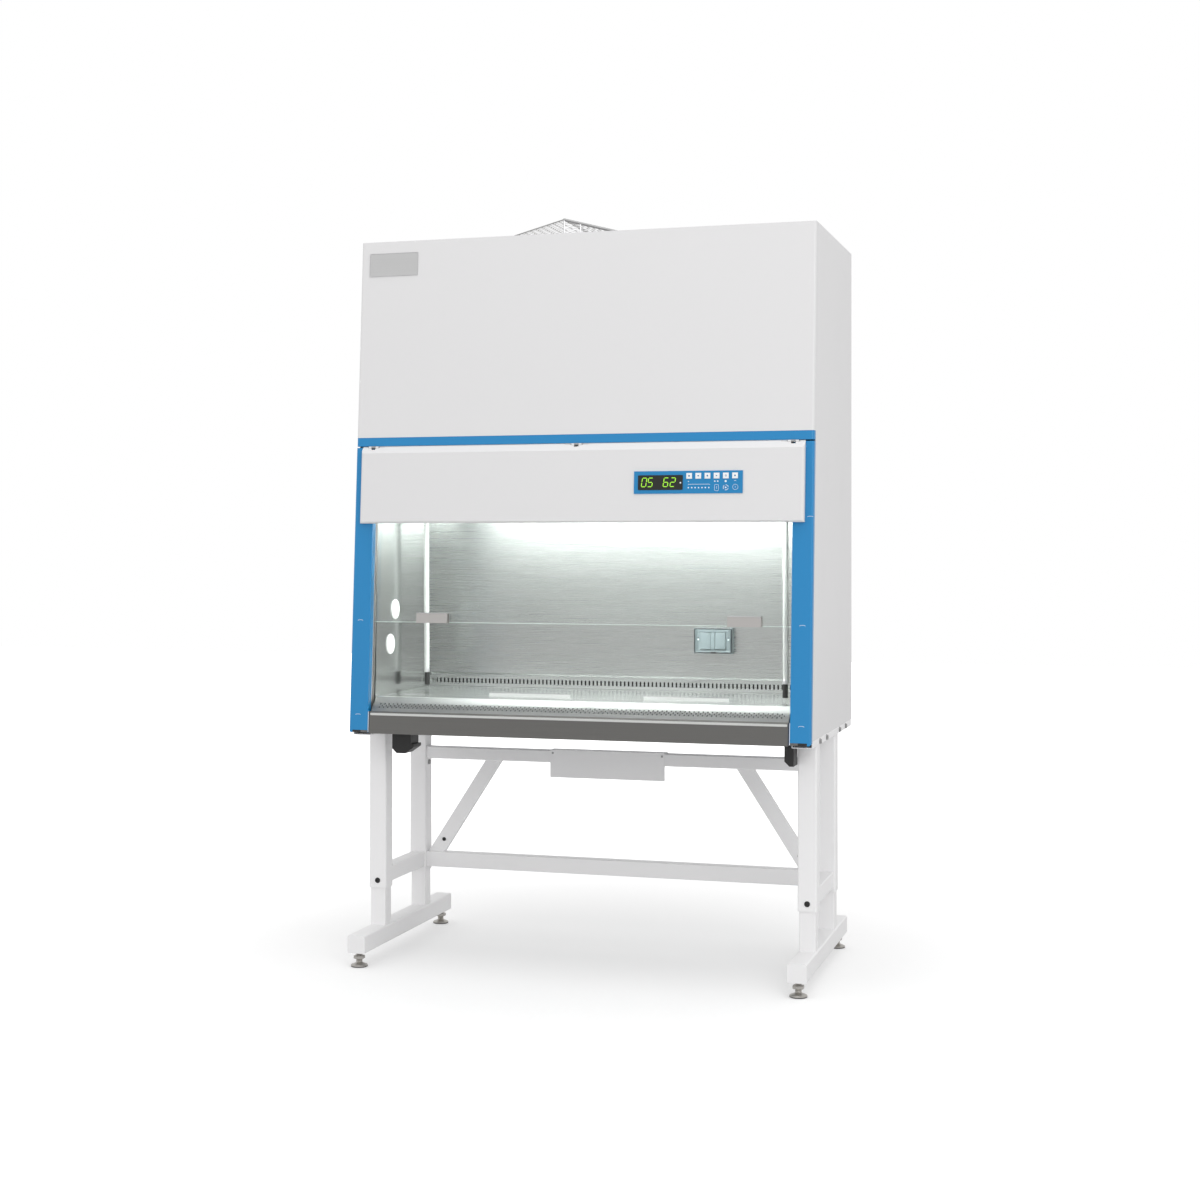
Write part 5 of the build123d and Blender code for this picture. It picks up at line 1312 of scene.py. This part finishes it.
class CABINET_OT_beam_caps(bpy.types.Operator):
    """Moulded end caps of the stand's two beams"""

    bl_idname = "cabinet.beam_caps"
    bl_label = "Beam Caps"

    def execute(self, context):
        white = material_of("stand_white", context.scene)
        for name in ("left_foot_frame", "right_foot_frame"):
            low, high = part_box(name)
            x = (low.x + high.x) / 2
            caps = []
            for y, way in ((low.y, -1.0), (high.y, 1.0)):
                cap = plate(0.0475, 0.0455, 0.0028, 0.005, 0.0012)
                origin = (x, y - way * 0.0030, 0.065)
                caps.append(placed(cap, origin, -way * RIGHTWARD, WORLD_UP, np.array([0.0, way, 0.0])))
            make_piece(f"{name}_caps", joined(caps), white, name)
        return {"FINISHED"}


# Studio


def area_light(name, place, target, size, power, colour=(1.0, 1.0, 1.0)):
    """Rectangular lamp at place, turned towards target."""
    data = bpy.data.lights.new(name, "AREA")
    data.shape = "RECTANGLE"
    data.size, data.size_y = size
    data.energy = power
    data.color = colour
    lamp = bpy.data.objects.new(name, data)
    lamp.location = place
    lamp.rotation_euler = (Vector(target) - Vector(place)).to_track_quat("-Z", "Y").to_euler()
    bpy.context.scene.collection.objects.link(lamp)
    return lamp


class CABINET_OT_studio(bpy.types.Operator):
    """White surroundings, floor, lights and the camera"""

    bl_idname = "cabinet.studio"
    bl_label = "Studio"

    def execute(self, context):
        scene = context.scene
        studio = scene.studio_settings
        scene.view_settings.view_transform = "Standard"
        world = bpy.data.worlds.new("studio surroundings")
        world.use_nodes = True
        tree = world.node_tree
        background = tree.nodes["Background"]
        path = tree.nodes.new("ShaderNodeLightPath")
        seen = add_math(tree, "MAXIMUM", path.outputs["Is Camera Ray"], path.outputs["Is Transmission Ray"])
        level = add_math(tree, "ADD", add_math(tree, "MULTIPLY", seen, 1.0 - studio.sky), studio.sky)
        mirrored = add_math(tree, "GREATER_THAN", path.outputs["Glossy Depth"], 0.5)
        dimming = add_math(tree, "SUBTRACT", 1.0, add_math(tree, "MULTIPLY", mirrored, 1.0 - studio.room))
        level = add_math(tree, "MULTIPLY", level, dimming)
        tree.links.new(level, background.inputs["Strength"])
        background.inputs["Color"].default_value = (1.0, 1.0, 1.0, 1.0)
        scene.world = world
        self.add_floor()
        area_light("key light", (3.2, -4.2, 2.8), (0, 0, 1.0), (3.2, 3.2), studio.key_power)
        area_light("fill light", (-3.8, -3.0, 1.6), (0, 0, 0.8), (2.4, 3.2), studio.fill_power)
        area_light("top light", (0.3, -0.4, 4.6), (0, 0, 0), (4.0, 3.0), studio.top_power)
        lamp = area_light(
            "chamber light",
            (0.0, -0.262, 1.272),
            (0.0, -0.05, 0.95),
            (1.05, 0.03),
            studio.chamber_power,
            (0.96, 1.0, 0.98),
        )
        lamp.data.spread = math.radians(170)
        data = bpy.data.cameras.new("photo view")
        data.lens = studio.lens
        data.sensor_width = 36.0
        data.shift_x = 0.05
        data.shift_y = -0.0467
        camera = bpy.data.objects.new("photo view", data)
        camera.location = (1.49128, -5.38561, 1.18135)
        camera.rotation_euler = (math.pi / 2, 0.0, 0.3040)
        scene.collection.objects.link(camera)
        scene.camera = camera
        return {"FINISHED"}

    def add_floor(self):
        """Level square: x and y run over it, z is 0; its glow grows with distance from the middle."""
        line = np.linspace(-14.0, 14.0, 9)
        x, y = np.meshgrid(line, line)
        points = np.stack([x, y, np.full_like(x, -0.0005)], -1).reshape(-1, 3)
        mesh = bpy.data.meshes.new("studio floor")
        mesh.from_pydata(points.tolist(), [], grid_faces(9, 9, wrap_cols=False).tolist())
        floor = bpy.data.objects.new("studio_floor", mesh)
        bpy.context.scene.collection.objects.link(floor)
        material = bpy.data.materials.new("studio floor")
        material.use_nodes = True
        tree = material.node_tree
        shader = tree.nodes["Principled BSDF"]
        shader.inputs["Base Color"].default_value = (0.70, 0.70, 0.70, 1.0)
        shader.inputs["Roughness"].default_value = 0.9
        shader.inputs["Specular IOR Level"].default_value = 0.0
        shader.inputs["Emission Color"].default_value = (1.0, 1.0, 1.0, 1.0)
        path = tree.nodes.new("ShaderNodeLightPath")
        seen = add_math(tree, "MAXIMUM", path.outputs["Is Camera Ray"], path.outputs["Is Transmission Ray"])
        direct = add_math(tree, "LESS_THAN", path.outputs["Glossy Depth"], 0.5)
        seen = add_math(tree, "MULTIPLY", seen, direct)
        length = tree.nodes.new("ShaderNodeVectorMath")
        length.operation = "LENGTH"
        tree.links.new(object_vector(tree), length.inputs[0])
        far = tree.nodes.new("ShaderNodeMapRange")
        far.interpolation_type = "SMOOTHSTEP"
        far.inputs["From Min"].default_value = 0.6
        far.inputs["From Max"].default_value = 3.6
        far.inputs["To Min"].default_value = 0.30
        far.inputs["To Max"].default_value = 1.0
        tree.links.new(length.outputs["Value"], far.inputs["Value"])
        glow = add_math(tree, "MULTIPLY", seen, far.outputs["Result"])
        tree.links.new(glow, shader.inputs["Emission Strength"])
        mesh.materials.append(material)


STEPS = (
    CABINET_OT_coat_nodes,
    CABINET_OT_display,
    CABINET_OT_key_marks,
    CABINET_OT_column_trim,
    CABINET_OT_sash_edge,
    CABINET_OT_lamp_shades,
    CABINET_OT_port_plugs,
    CABINET_OT_outlets,
    CABINET_OT_lip_highlight_slot_shade,
    CABINET_OT_feet,
    CABINET_OT_fasteners,
    CABINET_OT_roof_guard,
    CABINET_OT_panel_screws,
    CABINET_OT_beam_caps,
    CABINET_OT_studio,
)


class CABINET_PT_sidebar(bpy.types.Panel):
    """Lists the steps and their settings"""

    bl_idname = "CABINET_PT_sidebar"
    bl_label = "Biosafety Cabinet"
    bl_space_type = "VIEW_3D"
    bl_region_type = "UI"
    bl_category = "Cabinet"

    def draw(self, context):
        for group in (
            context.scene.cabinet_colours,
            context.scene.cabinet_sizes,
            context.scene.studio_settings,
        ):
            box = self.layout.box()
            for label in group.bl_rna.properties.keys():
                if label not in ("rna_type", "name"):
                    box.prop(group, label)
        for step in STEPS:
            self.layout.operator(step.bl_idname)


CLASSES = (CabinetColours, CabinetSizes, StudioSettings, *STEPS, CABINET_PT_sidebar)


def register():
    for cls in CLASSES:
        bpy.utils.register_class(cls)
    bpy.types.Scene.cabinet_colours = PointerProperty(type=CabinetColours)
    bpy.types.Scene.cabinet_sizes = PointerProperty(type=CabinetSizes)
    bpy.types.Scene.studio_settings = PointerProperty(type=StudioSettings)


def unregister():
    del bpy.types.Scene.studio_settings
    del bpy.types.Scene.cabinet_sizes
    del bpy.types.Scene.cabinet_colours
    for cls in reversed(CLASSES):
        bpy.utils.unregister_class(cls)


def main():
    register()
    for step in STEPS:
        category, name = step.bl_idname.split(".")
        getattr(getattr(bpy.ops, category), name)()


if __name__ == "__main__":
    main()
